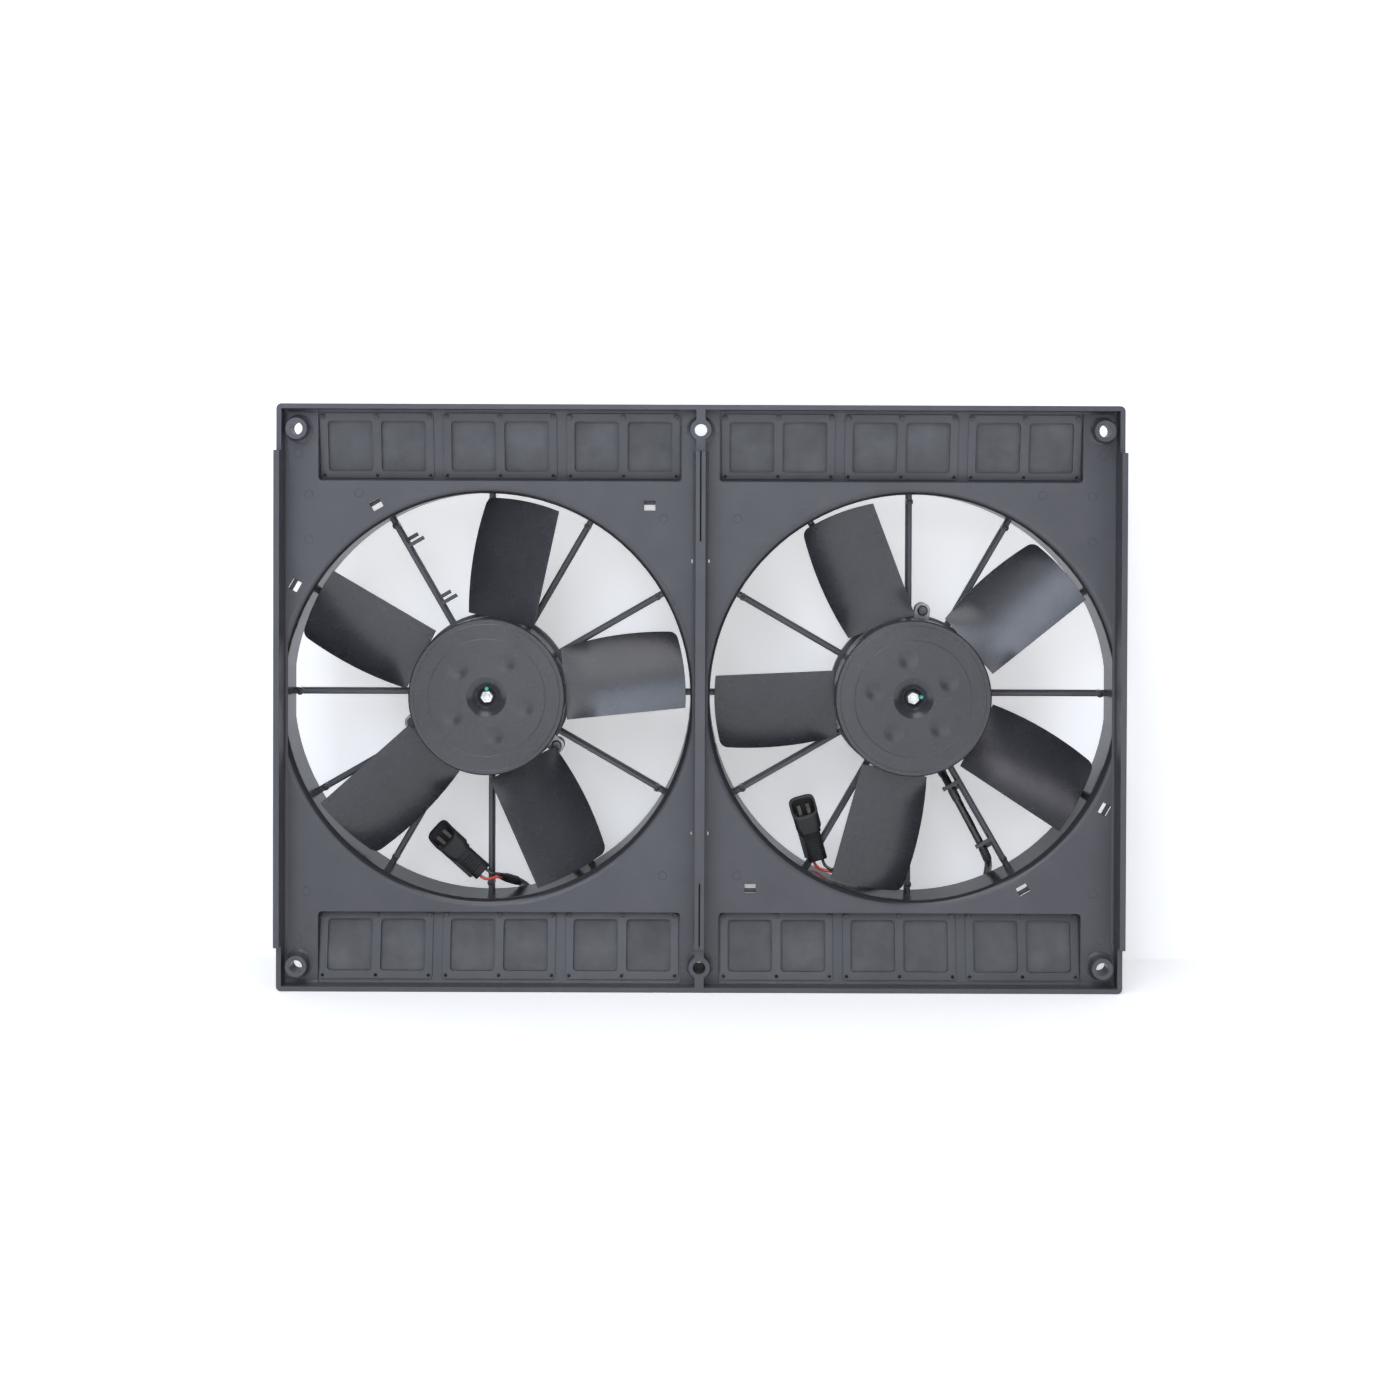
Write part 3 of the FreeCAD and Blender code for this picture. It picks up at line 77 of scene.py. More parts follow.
# --------------------------------------------------------------------------------------
# Node graphs and finishes
# --------------------------------------------------------------------------------------
class Graph:
    """A material's node tree, built call by call."""

    def __init__(self, name: str) -> None:
        """Start an empty material.

        Args:
            name: The material's name.
        """
        self.material = bpy.data.materials.new(name)
        self.material.use_nodes = True
        self.tree = self.material.node_tree
        self.tree.nodes.clear()
        self.output = self.tree.nodes.new("ShaderNodeOutputMaterial")

    def node(self, kind: str, inputs: dict | None = None, **props: object) -> bpy.types.Node:
        """Add a node.

        Args:
            kind: Node type name.
            inputs: Input name or index to a value, or to the socket that feeds it.
            **props: Node properties.

        Returns:
            The node.
        """
        made = self.tree.nodes.new(kind)
        for name, value in props.items():
            setattr(made, name, value)
        for name, value in (inputs or {}).items():
            if isinstance(value, bpy.types.NodeSocket):
                self.tree.links.new(value, made.inputs[name])
            else:
                made.inputs[name].default_value = value
        return made

    def place(self) -> bpy.types.NodeSocket:
        """Object coordinates."""
        return self.node("ShaderNodeTexCoord").outputs["Object"]

    def stretched(self, scale: Point) -> bpy.types.NodeSocket:
        """Object coordinates scaled on each axis.

        Args:
            scale: Factor for each axis.

        Returns:
            The scaled coordinates.
        """
        return self.node("ShaderNodeMapping", {"Vector": self.place(), "Scale": scale}).outputs["Vector"]

    def noise(self, scale: float, detail: float = 4.0, vector: bpy.types.NodeSocket | None = None,
              rough: float = 0.55) -> bpy.types.NodeSocket:
        """Noise from 0 to 1.

        Args:
            scale: Cycles per metre.
            detail: Octaves.
            vector: Coordinates, or None for the object's own.
            rough: How strong the fine octaves are.

        Returns:
            The noise factor.
        """
        made = self.node("ShaderNodeTexNoise", {"Vector": vector or self.place(), "Scale": scale,
                                                "Detail": detail, "Roughness": rough})
        return made.outputs["Fac"]

    def cells(self, scale: float) -> bpy.types.NodeSocket:
        """Distance to the nearest of many random points.

        Args:
            scale: Cells per metre.

        Returns:
            The distance in cells.
        """
        return self.node("ShaderNodeTexVoronoi", {"Vector": self.place(), "Scale": scale}).outputs["Distance"]

    def ramp(self, value: bpy.types.NodeSocket, *stops: tuple[float, float | Point]) -> bpy.types.NodeSocket:
        """A value turned to a grey or a colour.

        Args:
            value: What the ramp reads.
            *stops: Position, and a grey level or a linear colour.

        Returns:
            The ramp's colour.
        """
        made = self.node("ShaderNodeValToRGB", {"Fac": value})
        ramp = made.color_ramp
        while len(ramp.elements) < len(stops):
            ramp.elements.new(0.5)
        for element, (position, level) in zip(ramp.elements, stops):
            element.position = position
            colour = (level,) * 3 if isinstance(level, (int, float)) else level
            element.color = (*colour, 1.0)
        return made.outputs["Color"]

    def math(self, operation: str, a: object, b: object = 0.0, clamp: bool = False) -> bpy.types.NodeSocket:
        """Arithmetic on two values.

        Args:
            operation: Math node operation.
            a: First value or socket.
            b: Second value or socket.
            clamp: Whether the result stays within 0 and 1.

        Returns:
            The result.
        """
        return self.node("ShaderNodeMath", {0: a, 1: b}, operation=operation, use_clamp=clamp).outputs[0]

    def mix(self, factor: object, a: object, b: object) -> bpy.types.NodeSocket:
        """A blend of two colours.

        Args:
            factor: 0 for the first, 1 for the second.
            a: First colour or socket.
            b: Second colour or socket.

        Returns:
            The blended colour.
        """
        made = self.node("ShaderNodeMix", data_type="RGBA")
        for index, value in ((0, factor), (6, a), (7, b)):
            if isinstance(value, bpy.types.NodeSocket):
                self.tree.links.new(value, made.inputs[index])
            elif index:
                made.inputs[index].default_value = (*value, 1.0)
            else:
                made.inputs[index].default_value = value
        return made.outputs[2]

    def bump(self, height: bpy.types.NodeSocket, depth: float, strength: float = 1.0,
             normal: bpy.types.NodeSocket | None = None) -> bpy.types.NodeSocket:
        """A bumped normal.

        Args:
            height: Relief from 0 to 1.
            depth: Metres that 1 stands for.
            strength: How far the bump shows.
            normal: Normal that it starts from.

        Returns:
            The normal.
        """
        inputs = {"Height": height, "Distance": depth, "Strength": strength}
        if normal is not None:
            inputs["Normal"] = normal
        return self.node("ShaderNodeBump", inputs).outputs["Normal"]

    def soft_edges(self, radius: float) -> bpy.types.NodeSocket:
        """Normal with the sharp edges rounded.

        Args:
            radius: Edge radius in metres.

        Returns:
            The rounded normal.
        """
        return self.node("ShaderNodeBevel", {"Radius": radius}, samples=4).outputs["Normal"]

    def finish(self, **sockets: object) -> bpy.types.Material:
        """Close the graph with the surface shader.

        Args:
            **sockets: Shader inputs, underscores for spaces.

        Returns:
            The material.
        """
        inputs = {}
        for name, value in sockets.items():
            if isinstance(value, tuple) and len(value) == 3:
                value = (*value, 1.0)
            inputs[name.replace("_", " ")] = value
        shader = self.node("ShaderNodeBsdfPrincipled", inputs)
        self.tree.links.new(shader.outputs[0], self.output.inputs["Surface"])
        return self.material


class Texture(Enum):
    """How a moulding's tool surface was finished."""

    SPARK = "spark"
    SATIN = "satin"
    GLOSS = "gloss"


@dataclass(frozen=True)
class MouldedPlastic:
    """Injection-moulded black plastic: tool texture, flow marks, handling scuffs, dust, and polished throat
    bands darkened as painted shade.
    """

    name: str
    colour: Point
    streak: Point
    roughness: float = 0.5
    texture: Texture = Texture.SATIN
    dust: float = 0.0
    edge_radius: float = 0.0006
    specular: float = 0.5
    polished_and_shaded: tuple[Point, ...] = ()
    polish_radius: float = 0.156
    polish_front: float = 0.0149
    polish_half: float = 0.0065
    polish_fade: float = 0.0015
    polish_rise: float = 0.0008
    polish_gloss: float = 0.18
    polish_painted_shade: float = 0.35

    def material(self) -> bpy.types.Material:
        """The material of this finish."""
        graph = Graph(self.name)
        grain_per_metre, grain_deep = {Texture.SPARK: (2600.0, 0.00005), Texture.SATIN: (3800.0, 0.00003),
                                       Texture.GLOSS: (900.0, 0.00002)}[self.texture]
        grain = graph.noise(grain_per_metre, 3.0)
        pits = graph.ramp(graph.cells(grain_per_metre / 3), (0.0, 0.0), (0.35, 1.0))
        relief = graph.math("ADD", graph.math("MULTIPLY", grain, 0.8), graph.math("MULTIPLY", pits, 0.2))
        flow = graph.noise(9.0, 5.0, graph.stretched((1.0, 1.0, 0.45)), 0.6)
        cloud = graph.noise(34.0, 3.0)
        clouds = graph.math("ADD", graph.math("MULTIPLY", flow, 0.7), graph.math("MULTIPLY", cloud, 0.3))
        tone = graph.ramp(clouds, (0.34, self.colour), (0.68, self.streak))
        scratches = graph.noise(150.0, 6.0, graph.stretched((0.25, 1.0, 1.4)), 0.7)
        scuffs = graph.ramp(scratches, (0.60, 0.0), (0.78, 1.0))
        pale = tuple(level * 2.2 for level in self.streak)
        tone = graph.mix(graph.math("MULTIPLY", scuffs, 0.16), tone, pale)
        if self.dust:
            up = graph.node("ShaderNodeSeparateXYZ",
                            {0: graph.node("ShaderNodeTexCoord").outputs["Normal"]}).outputs["Z"]
            settled = graph.math("MULTIPLY", graph.ramp(up, (0.25, 0.0), (0.9, 1.0)),
                                 graph.ramp(graph.noise(260.0, 5.0), (0.35, 0.2), (0.7, 1.0)))
            tone = graph.mix(graph.math("MULTIPLY", settled, self.dust), tone, (0.34, 0.33, 0.31))
        gloss = graph.math("ADD", graph.math("MULTIPLY", graph.noise(60.0, 4.0), 0.16), self.roughness - 0.08)
        gloss = graph.math("ADD", gloss, graph.math("MULTIPLY", scuffs, 0.08), clamp=True)
        for centre in self.polished_and_shaded:
            away = graph.node("ShaderNodeVectorMath", {0: graph.place(), 1: centre},
                              operation="SUBTRACT").outputs[0]
            flat = graph.node("ShaderNodeVectorMath", {0: away, 1: (1.0, 0.0, 1.0)},
                              operation="MULTIPLY").outputs[0]
            reach = graph.node("ShaderNodeVectorMath", {0: flat}, operation="LENGTH").outputs["Value"]
            off = graph.math("ABSOLUTE", graph.math("SUBTRACT", reach, self.polish_radius))
            near = graph.node("ShaderNodeMapRange", {"Value": off, "From Min": self.polish_half,
                                                     "From Max": self.polish_half + self.polish_fade,
                                                     "To Min": 1.0, "To Max": 0.0}).outputs[0]
            deep = graph.node("ShaderNodeSeparateXYZ", {0: away}).outputs["Y"]
            full = self.polish_front + self.polish_rise
            sunk = graph.node("ShaderNodeMapRange", {"Value": deep, "From Min": self.polish_front,
                                                     "From Max": full}).outputs[0]
            # Mask of the throat band: it carries the polish and the painted shade.
            shine = graph.math("MULTIPLY", near, sunk)
            gloss = graph.math("ADD", graph.math("MULTIPLY", gloss, graph.math("SUBTRACT", 1.0, shine)),
                               graph.math("MULTIPLY", shine, self.polish_gloss))
            # Painted shade: the polished throat band is darkened towards a share of the base colour.
            tone = graph.mix(graph.math("MULTIPLY", shine, 0.75), tone,
                             tuple(v * self.polish_painted_shade for v in self.colour))
        normal = graph.bump(relief, grain_deep, 0.55, graph.soft_edges(self.edge_radius))
        waves = graph.bump(graph.noise(26.0, 2.0), 0.00035, 0.25, normal)
        return graph.finish(Base_Color=tone, Roughness=gloss, Normal=waves, Specular_IOR_Level=self.specular)


@dataclass(frozen=True)
class HubPlastic:
    """Satin fan plastic with the hub's dimples and circles and the blades' crown."""

    name: str
    centre: Point
    dimples: tuple[float, ...]
    first_blade: float
    colour: Point = (0.029, 0.029, 0.035)
    streak: Point = (0.040, 0.040, 0.047)
    dimple_reach: float = 0.030
    dimple_radius: float = 0.0085
    ring_radius: float = 0.045
    recess_radius: float = 0.0153
    recess_inner: float = 0.0086
    recess_slope: float = 0.55
    blade_pitch: float = math.radians(72.0)
    crown: float = 13.0

    def ring(self, graph: Graph, reach: bpy.types.NodeSocket, radius: float, width: float) \
            -> bpy.types.NodeSocket:
        """A thin circle about the shaft.

        Args:
            graph: The material's graph.
            reach: Distance from the shaft.
            radius: Circle radius.
            width: Half the line's width.

        Returns:
            1 on the line, 0 away from it.
        """
        off = graph.math("ABSOLUTE", graph.math("SUBTRACT", reach, radius))
        return graph.math("SUBTRACT", 1.0, graph.math("DIVIDE", off, width, clamp=True), clamp=True)

    def between(self, graph: Graph, value: object, low: float, high: float) -> bpy.types.NodeSocket:
        """Smooth step from 0 at low to 1 at high."""
        return graph.node("ShaderNodeMapRange", {"Value": value, "From Min": low, "From Max": high},
                          interpolation_type="SMOOTHSTEP").outputs[0]

    def blade_crown(self, graph: Graph, flat: bpy.types.NodeSocket, reach: bpy.types.NodeSocket) \
            -> bpy.types.NodeSocket:
        """Height of the blades' crowned faces across their chord."""
        split = graph.node("ShaderNodeSeparateXYZ", {0: flat})
        angle = graph.math("ARCTAN2", split.outputs["Z"], split.outputs["X"])
        past_first = graph.math("SUBTRACT", angle, math.radians(self.first_blade))
        turns = graph.math("DIVIDE", past_first, self.blade_pitch)
        off = graph.math("SUBTRACT", graph.math("FRACT", graph.math("ADD", turns, 2.5)), 0.5)
        chord = graph.math("MULTIPLY", graph.math("MULTIPLY", off, self.blade_pitch), reach)
        bulge = graph.math("MULTIPLY", graph.math("MULTIPLY", chord, chord), -self.crown / 2)
        return graph.math("MULTIPLY", bulge, self.between(graph, reach, 0.060, 0.088))

    def material(self) -> bpy.types.Material:
        """The material of this finish."""
        graph = Graph(self.name)
        centred = graph.node("ShaderNodeVectorMath", {0: graph.place(), 1: self.centre},
                             operation="SUBTRACT").outputs[0]
        flat = graph.node("ShaderNodeVectorMath", {0: centred, 1: (1.0, 0.0, 1.0)},
                          operation="MULTIPLY").outputs[0]
        reach = graph.node("ShaderNodeVectorMath", {0: flat}, operation="LENGTH").outputs["Value"]
        relief: object = 0.0
        for angle in self.dimples:
            turn = math.radians(angle)
            spot = (math.cos(turn) * self.dimple_reach, 0.0, math.sin(turn) * self.dimple_reach)
            away = graph.node("ShaderNodeVectorMath", {0: flat, 1: spot},
                              operation="DISTANCE").outputs["Value"]
            around = self.between(graph, away, 0.001, self.dimple_radius)
            relief = graph.math("ADD", relief, graph.math("SUBTRACT", 1.0, around))
        face = graph.node("ShaderNodeSeparateXYZ", {0: centred}).outputs["Y"]
        front = graph.math("SUBTRACT", 1.0, self.between(graph, face, 0.0125, 0.0135))
        lines = graph.math("ADD", self.ring(graph, reach, self.ring_radius, 0.0005),
                           self.ring(graph, reach, self.ring_radius + 0.011, 0.0004))
        relief = graph.math("MULTIPLY", graph.math("ADD", graph.math("MULTIPLY", lines, 0.16), relief), front)
        tone = graph.ramp(graph.noise(16.0, 5.0), (0.36, self.colour), (0.66, self.streak))
        dusty = graph.ramp(graph.noise(420.0, 5.0), (0.58, 0.0), (0.8, 1.0))
        wear = graph.noise(70.0, 6.0, graph.stretched((0.5, 1.0, 1.3)), 0.7)
        rubbed = graph.ramp(wear, (0.56, 0.0), (0.8, 1.0))
        tone = graph.mix(graph.math("MULTIPLY", dusty, 0.07), tone, (0.20, 0.20, 0.21))
        tone = graph.mix(graph.math("MULTIPLY", rubbed, 0.05), tone, (0.14, 0.14, 0.16))
        gloss = graph.math("ADD", graph.math("MULTIPLY", graph.noise(70.0, 4.0), 0.08), 0.23)
        gloss = graph.math("ADD", gloss, graph.math("MULTIPLY", rubbed, 0.03), clamp=True)
        grain = graph.bump(graph.noise(3200.0, 3.0), 0.00002, 0.4, graph.soft_edges(0.0005))
        carved = graph.bump(graph.math("SUBTRACT", 1.0, relief), 0.0007, 0.9, grain)
        within = graph.math("SUBTRACT", graph.math("MAXIMUM", reach, self.recess_inner), self.recess_radius)
        sunk = graph.math("MULTIPLY", graph.math("MINIMUM", within, 0.0), self.recess_slope)
        shape = graph.math("ADD", sunk, self.blade_crown(graph, flat, reach))
        return graph.finish(Base_Color=tone, Roughness=gloss, Normal=graph.bump(shape, 1.0, 1.0, carved),
                            Specular_IOR_Level=0.5)


@dataclass(frozen=True)
class SheetRubber:
    """Matt rubber sheet with bloom and fine pressed cloth marks."""

    name: str
    colour: Point = (0.085, 0.085, 0.090)
    bloom: Point = (0.135, 0.135, 0.142)
    weave_per_metre: float = 900.0

    def material(self) -> bpy.types.Material:
        """The material of this finish."""
        graph = Graph(self.name)
        across = graph.node("ShaderNodeTexWave", {"Vector": graph.place(), "Scale": self.weave_per_metre},
                            bands_direction="X").outputs["Fac"]
        along = graph.node("ShaderNodeTexWave", {"Vector": graph.place(), "Scale": self.weave_per_metre},
                           bands_direction="Z").outputs["Fac"]
        weave = graph.math("MULTIPLY", across, along)
        tone = graph.ramp(graph.noise(38.0, 6.0, rough=0.62), (0.34, self.colour), (0.74, self.bloom))
        specks = graph.ramp(graph.noise(900.0, 3.0), (0.68, 0.0), (0.80, 1.0))
        tone = graph.mix(graph.math("MULTIPLY", specks, 0.12), tone, (0.30, 0.30, 0.29))
        gloss = graph.math("ADD", graph.math("MULTIPLY", graph.noise(90.0, 4.0), 0.18), 0.56, clamp=True)
        normal = graph.bump(graph.math("ADD", weave, graph.noise(1500.0, 3.0)), 0.00004, 0.4)
        return graph.finish(Base_Color=tone, Roughness=gloss, Normal=normal, Specular_IOR_Level=0.35)


class MetalKind(Enum):
    """Base metal or plating."""

    ZINC = "zinc"
    BRONZE = "bronze"
    COPPER = "copper"
    CAST = "cast"
    BLACKENED = "blackened"
    TINNED_IN_PAINTED_SHADE = "tinned"
    LAMINATION = "lamination"


@dataclass(frozen=True)
class Metal:
    """Bare or plated metal with turning lines, tarnish and fine pitting; the tinned kind is kept near black
    as painted shade.
    """

    name: str
    kind: MetalKind
    roughness: float = 0.32
    line_per_metre: float = 1400.0

    def material(self) -> bpy.types.Material:
        """The material of this finish."""
        bright, dull = {MetalKind.ZINC: ((0.58, 0.58, 0.56), (0.38, 0.39, 0.39)),
                        MetalKind.BRONZE: ((0.58, 0.36, 0.17), (0.36, 0.21, 0.10)),
                        MetalKind.COPPER: ((0.68, 0.30, 0.15), (0.40, 0.15, 0.07)),
                        MetalKind.CAST: ((0.36, 0.36, 0.37), (0.22, 0.22, 0.23)),
                        MetalKind.BLACKENED: ((0.10, 0.10, 0.11), (0.05, 0.05, 0.055)),
                        # Tinned terminals are kept near black: painted shade inside the connector's mouth.
                        MetalKind.TINNED_IN_PAINTED_SHADE: ((0.07, 0.065, 0.055), (0.04, 0.037, 0.032)),
                        MetalKind.LAMINATION: ((0.38, 0.38, 0.39), (0.20, 0.20, 0.21))}[self.kind]
        graph = Graph(self.name)
        tone = graph.ramp(graph.noise(160.0, 5.0), (0.35, dull), (0.62, bright))
        lines = graph.noise(self.line_per_metre, 2.0, graph.stretched((0.12, 1.0, 0.12)))
        spots = graph.ramp(graph.noise(700.0, 4.0), (0.66, 0.0), (0.76, 1.0))
        tone = graph.mix(graph.math("MULTIPLY", spots, 0.35), tone, tuple(level * 0.45 for level in dull))
        gloss = graph.math("ADD", graph.math("MULTIPLY", lines, 0.16), self.roughness - 0.06)
        gloss = graph.math("ADD", gloss, graph.math("MULTIPLY", spots, 0.2), clamp=True)
        normal = graph.bump(lines, 0.00003, 0.5, graph.soft_edges(0.0003))
        return graph.finish(Base_Color=tone, Roughness=gloss, Normal=normal, Metallic=1.0)


@dataclass(frozen=True)
class PaintedSteel:
    """Black enamel on drawn steel with orange peel, dust and rubbed edges."""

    name: str
    colour: Point = (0.022, 0.022, 0.024)
    roughness: float = 0.34

    def material(self) -> bpy.types.Material:
        """The material of this finish."""
        graph = Graph(self.name)
        peel = graph.noise(420.0, 3.0)
        dust = graph.ramp(graph.noise(55.0, 7.0, rough=0.68), (0.48, 0.0), (0.75, 1.0))
        tone = graph.mix(graph.math("MULTIPLY", dust, 0.22), self.colour, (0.13, 0.125, 0.115))
        chips = graph.ramp(graph.noise(240.0, 4.0), (0.72, 0.0), (0.75, 1.0))
        tone = graph.mix(graph.math("MULTIPLY", chips, 0.5), tone, (0.16, 0.11, 0.08))
        gloss = graph.math("ADD", graph.math("MULTIPLY", dust, 0.3), self.roughness, clamp=True)
        normal = graph.bump(peel, 0.00006, 0.5, graph.soft_edges(0.0008))
        return graph.finish(Base_Color=tone, Roughness=gloss, Normal=normal, Coat_Weight=0.25,
                            Coat_Roughness=0.2)


@dataclass(frozen=True)
class Sintered:
    """Dull sintered block: magnets and brushes."""

    name: str
    colour: Point
    roughness: float = 0.6

    def material(self) -> bpy.types.Material:
        """The material of this finish."""
        graph = Graph(self.name)
        tone = graph.ramp(graph.noise(380.0, 6.0, rough=0.7), (0.3, tuple(v * 0.7 for v in self.colour)),
                          (0.7, tuple(v * 1.3 for v in self.colour)))
        gloss = graph.math("ADD", graph.math("MULTIPLY", graph.noise(800.0), 0.2), self.roughness - 0.1)
        normal = graph.bump(graph.cells(1800.0), 0.00005, 0.6)
        return graph.finish(Base_Color=tone, Roughness=gloss, Normal=normal)


@dataclass(frozen=True)
class Insulation:
    """Soft vinyl of wires and sleeves: waxy sheen, print-free, slightly marked."""

    name: str
    colour: Point
    worn: Point
    roughness: float = 0.3

    def material(self) -> bpy.types.Material:
        """The material of this finish."""
        graph = Graph(self.name)
        tone = graph.ramp(graph.noise(190.0, 5.0, rough=0.62), (0.36, self.colour), (0.74, self.worn))
        rub = graph.ramp(graph.noise(620.0, 4.0), (0.62, 0.0), (0.78, 1.0))
        gloss = graph.math("ADD", graph.math("MULTIPLY", rub, 0.26), self.roughness, clamp=True)
        normal = graph.bump(graph.noise(1300.0, 3.0), 0.00005, 0.5)
        return graph.finish(Base_Color=tone, Roughness=gloss, Normal=normal, Coat_Weight=0.3,
                            Coat_Roughness=0.25)


@dataclass(frozen=True)
class PaintDot:
    """A dab of marking lacquer, thick in the middle."""

    name: str
    colour: Point

    def material(self) -> bpy.types.Material:
        """The material of this finish."""
        graph = Graph(self.name)
        dark = tuple(v * 0.75 for v in self.colour)
        tone = graph.ramp(graph.noise(1200.0, 3.0), (0.3, dark), (0.7, self.colour))
        gloss = graph.math("ADD", graph.math("MULTIPLY", graph.noise(2000.0), 0.2), 0.25)
        return graph.finish(Base_Color=tone, Roughness=gloss,
                            Normal=graph.bump(graph.noise(1500.0), 0.00006, 0.5))


# --------------------------------------------------------------------------------------
# Mesh and node-tree helpers
# --------------------------------------------------------------------------------------
def dress(name: str, material: bpy.types.Material) -> None:
    """Give a frame node its finish.

    Args:
        name: Node name.
        material: The finish.
    """
    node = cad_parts[name]
    if not node.material_slots:
        node.data.materials.append(material)
    for slot in node.material_slots:
        slot.material = material


def made_piece(name: str, mesh: bpy.types.Mesh, body: str) -> bpy.types.Object:
    """A finished mesh as a piece that rides on a body.

    Args:
        name: Piece name.
        mesh: Its mesh, in the row frame.
        body: Body that it rides on.

    Returns:
        The piece.
    """
    piece = bpy.data.objects.new(name, mesh)
    bpy.context.scene.collection.objects.link(piece)
    if body:
        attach(piece, body)
    log.info("%s: %d faces", name, len(mesh.polygons))
    return piece


def mesh_of(name: str, parts: list[tuple[list[Vector], list[tuple[int, ...]]]], material: bpy.types.Material,
            smooth_angle: float = 40.0) -> bpy.types.Mesh:
    """One mesh from parts of corners and faces.

    Args:
        name: Mesh name.
        parts: Corners and faces of each part.
        material: Its finish.
        smooth_angle: Edges sharper than this stay sharp, in degrees.

    Returns:
        The mesh, with its normals outwards.
    """
    build = bmesh.new()
    for corners, faces in parts:
        made = [build.verts.new(corner) for corner in corners]
        for face in faces:
            build.faces.new([made[index] for index in face])
    bmesh.ops.recalc_face_normals(build, faces=build.faces)
    for face in build.faces:
        face.smooth = True
    for edge in build.edges:
        if len(edge.link_faces) == 2 and edge.calc_face_angle(0.0) > math.radians(smooth_angle):
            edge.smooth = False
    mesh = bpy.data.meshes.new(name)
    build.to_mesh(mesh)
    build.free()
    mesh.materials.append(material)
    return mesh


def tube_part(sections: list[list[Vector]], closed_ends: bool = True, joined: bool = False) \
        -> tuple[list[Vector], list[tuple[int, ...]]]:
    """Skin over a row of equal rings.

    Args:
        sections: Rings of corners, in order.
        closed_ends: Whether the first and last ring are capped.
        joined: Whether the last ring joins the first.

    Returns:
        Corners and faces.
    """
    count, rows = len(sections[0]), len(sections)
    corners = [corner for section in sections for corner in section]
    faces = []
    for row in range(rows if joined else rows - 1):
        here, there = row * count, ((row + 1) % rows) * count
        faces += [(here + i, here + (i + 1) % count, there + (i + 1) % count, there + i)
                  for i in range(count)]
    if closed_ends:
        faces.append(tuple(range(count)))
        faces.append(tuple((rows - 1) * count + i for i in range(count)))
    return corners, faces


def cove_profile(radius: float, steps: int = 5) -> list[tuple[float, float]]:
    """Concave quarter fillet between two faces that meet at (0, 0).

    Args:
        radius: Fillet radius.
        steps: Facets along the curve.

    Returns:
        Outline points: out along the first face, and out along the second.
    """
    sunk = 0.12 * MM
    points = [(-sunk, -sunk), (radius, -sunk)]
    for step in range(steps + 1):
        turn = math.pi / 2 * step / steps
        points.append((radius - radius * math.sin(turn), radius - radius * math.cos(turn)))
    return points + [(-sunk, radius)]


def straight_cove(start: Vector, end: Vector, along: Vector, off: Vector, radius: float) \
        -> tuple[list[Vector], list[tuple[int, ...]]]:
    """Fillet along a straight inner corner.

    Args:
        start: One end of the corner line.
        end: Its other end.
        along: Direction along the first face, away from the corner.
        off: Direction along the second face, away from the corner.
        radius: Fillet radius.

    Returns:
        Corners and faces.
    """
    return tube_part([[point + along * a + off * b for a, b in cove_profile(radius)]
                      for point in (start, end)])


def ring_cove(centre: Vector, wall_radius: float, radius: float, steps: int = 48, inside: bool = False) \
        -> tuple[list[Vector], list[tuple[int, ...]]]:
    """Fillet round a boss that stands out of a plate towards -Y.

    Args:
        centre: Boss centre on the plate's face.
        wall_radius: Radius of the boss.
        radius: Fillet radius.
        steps: Facets round the boss.
        inside: Whether the fillet lies inside the wall.

    Returns:
        Corners and faces.
    """
    sign = -1 if inside else 1
    sections = []
    for step in range(steps):
        turn = math.tau * step / steps
        out = Vector((math.cos(turn), 0, math.sin(turn)))
        sections.append([centre + out * (wall_radius + sign * a) - Vector((0, b, 0))
                         for a, b in cove_profile(radius)])
    return tube_part(sections, False, True)


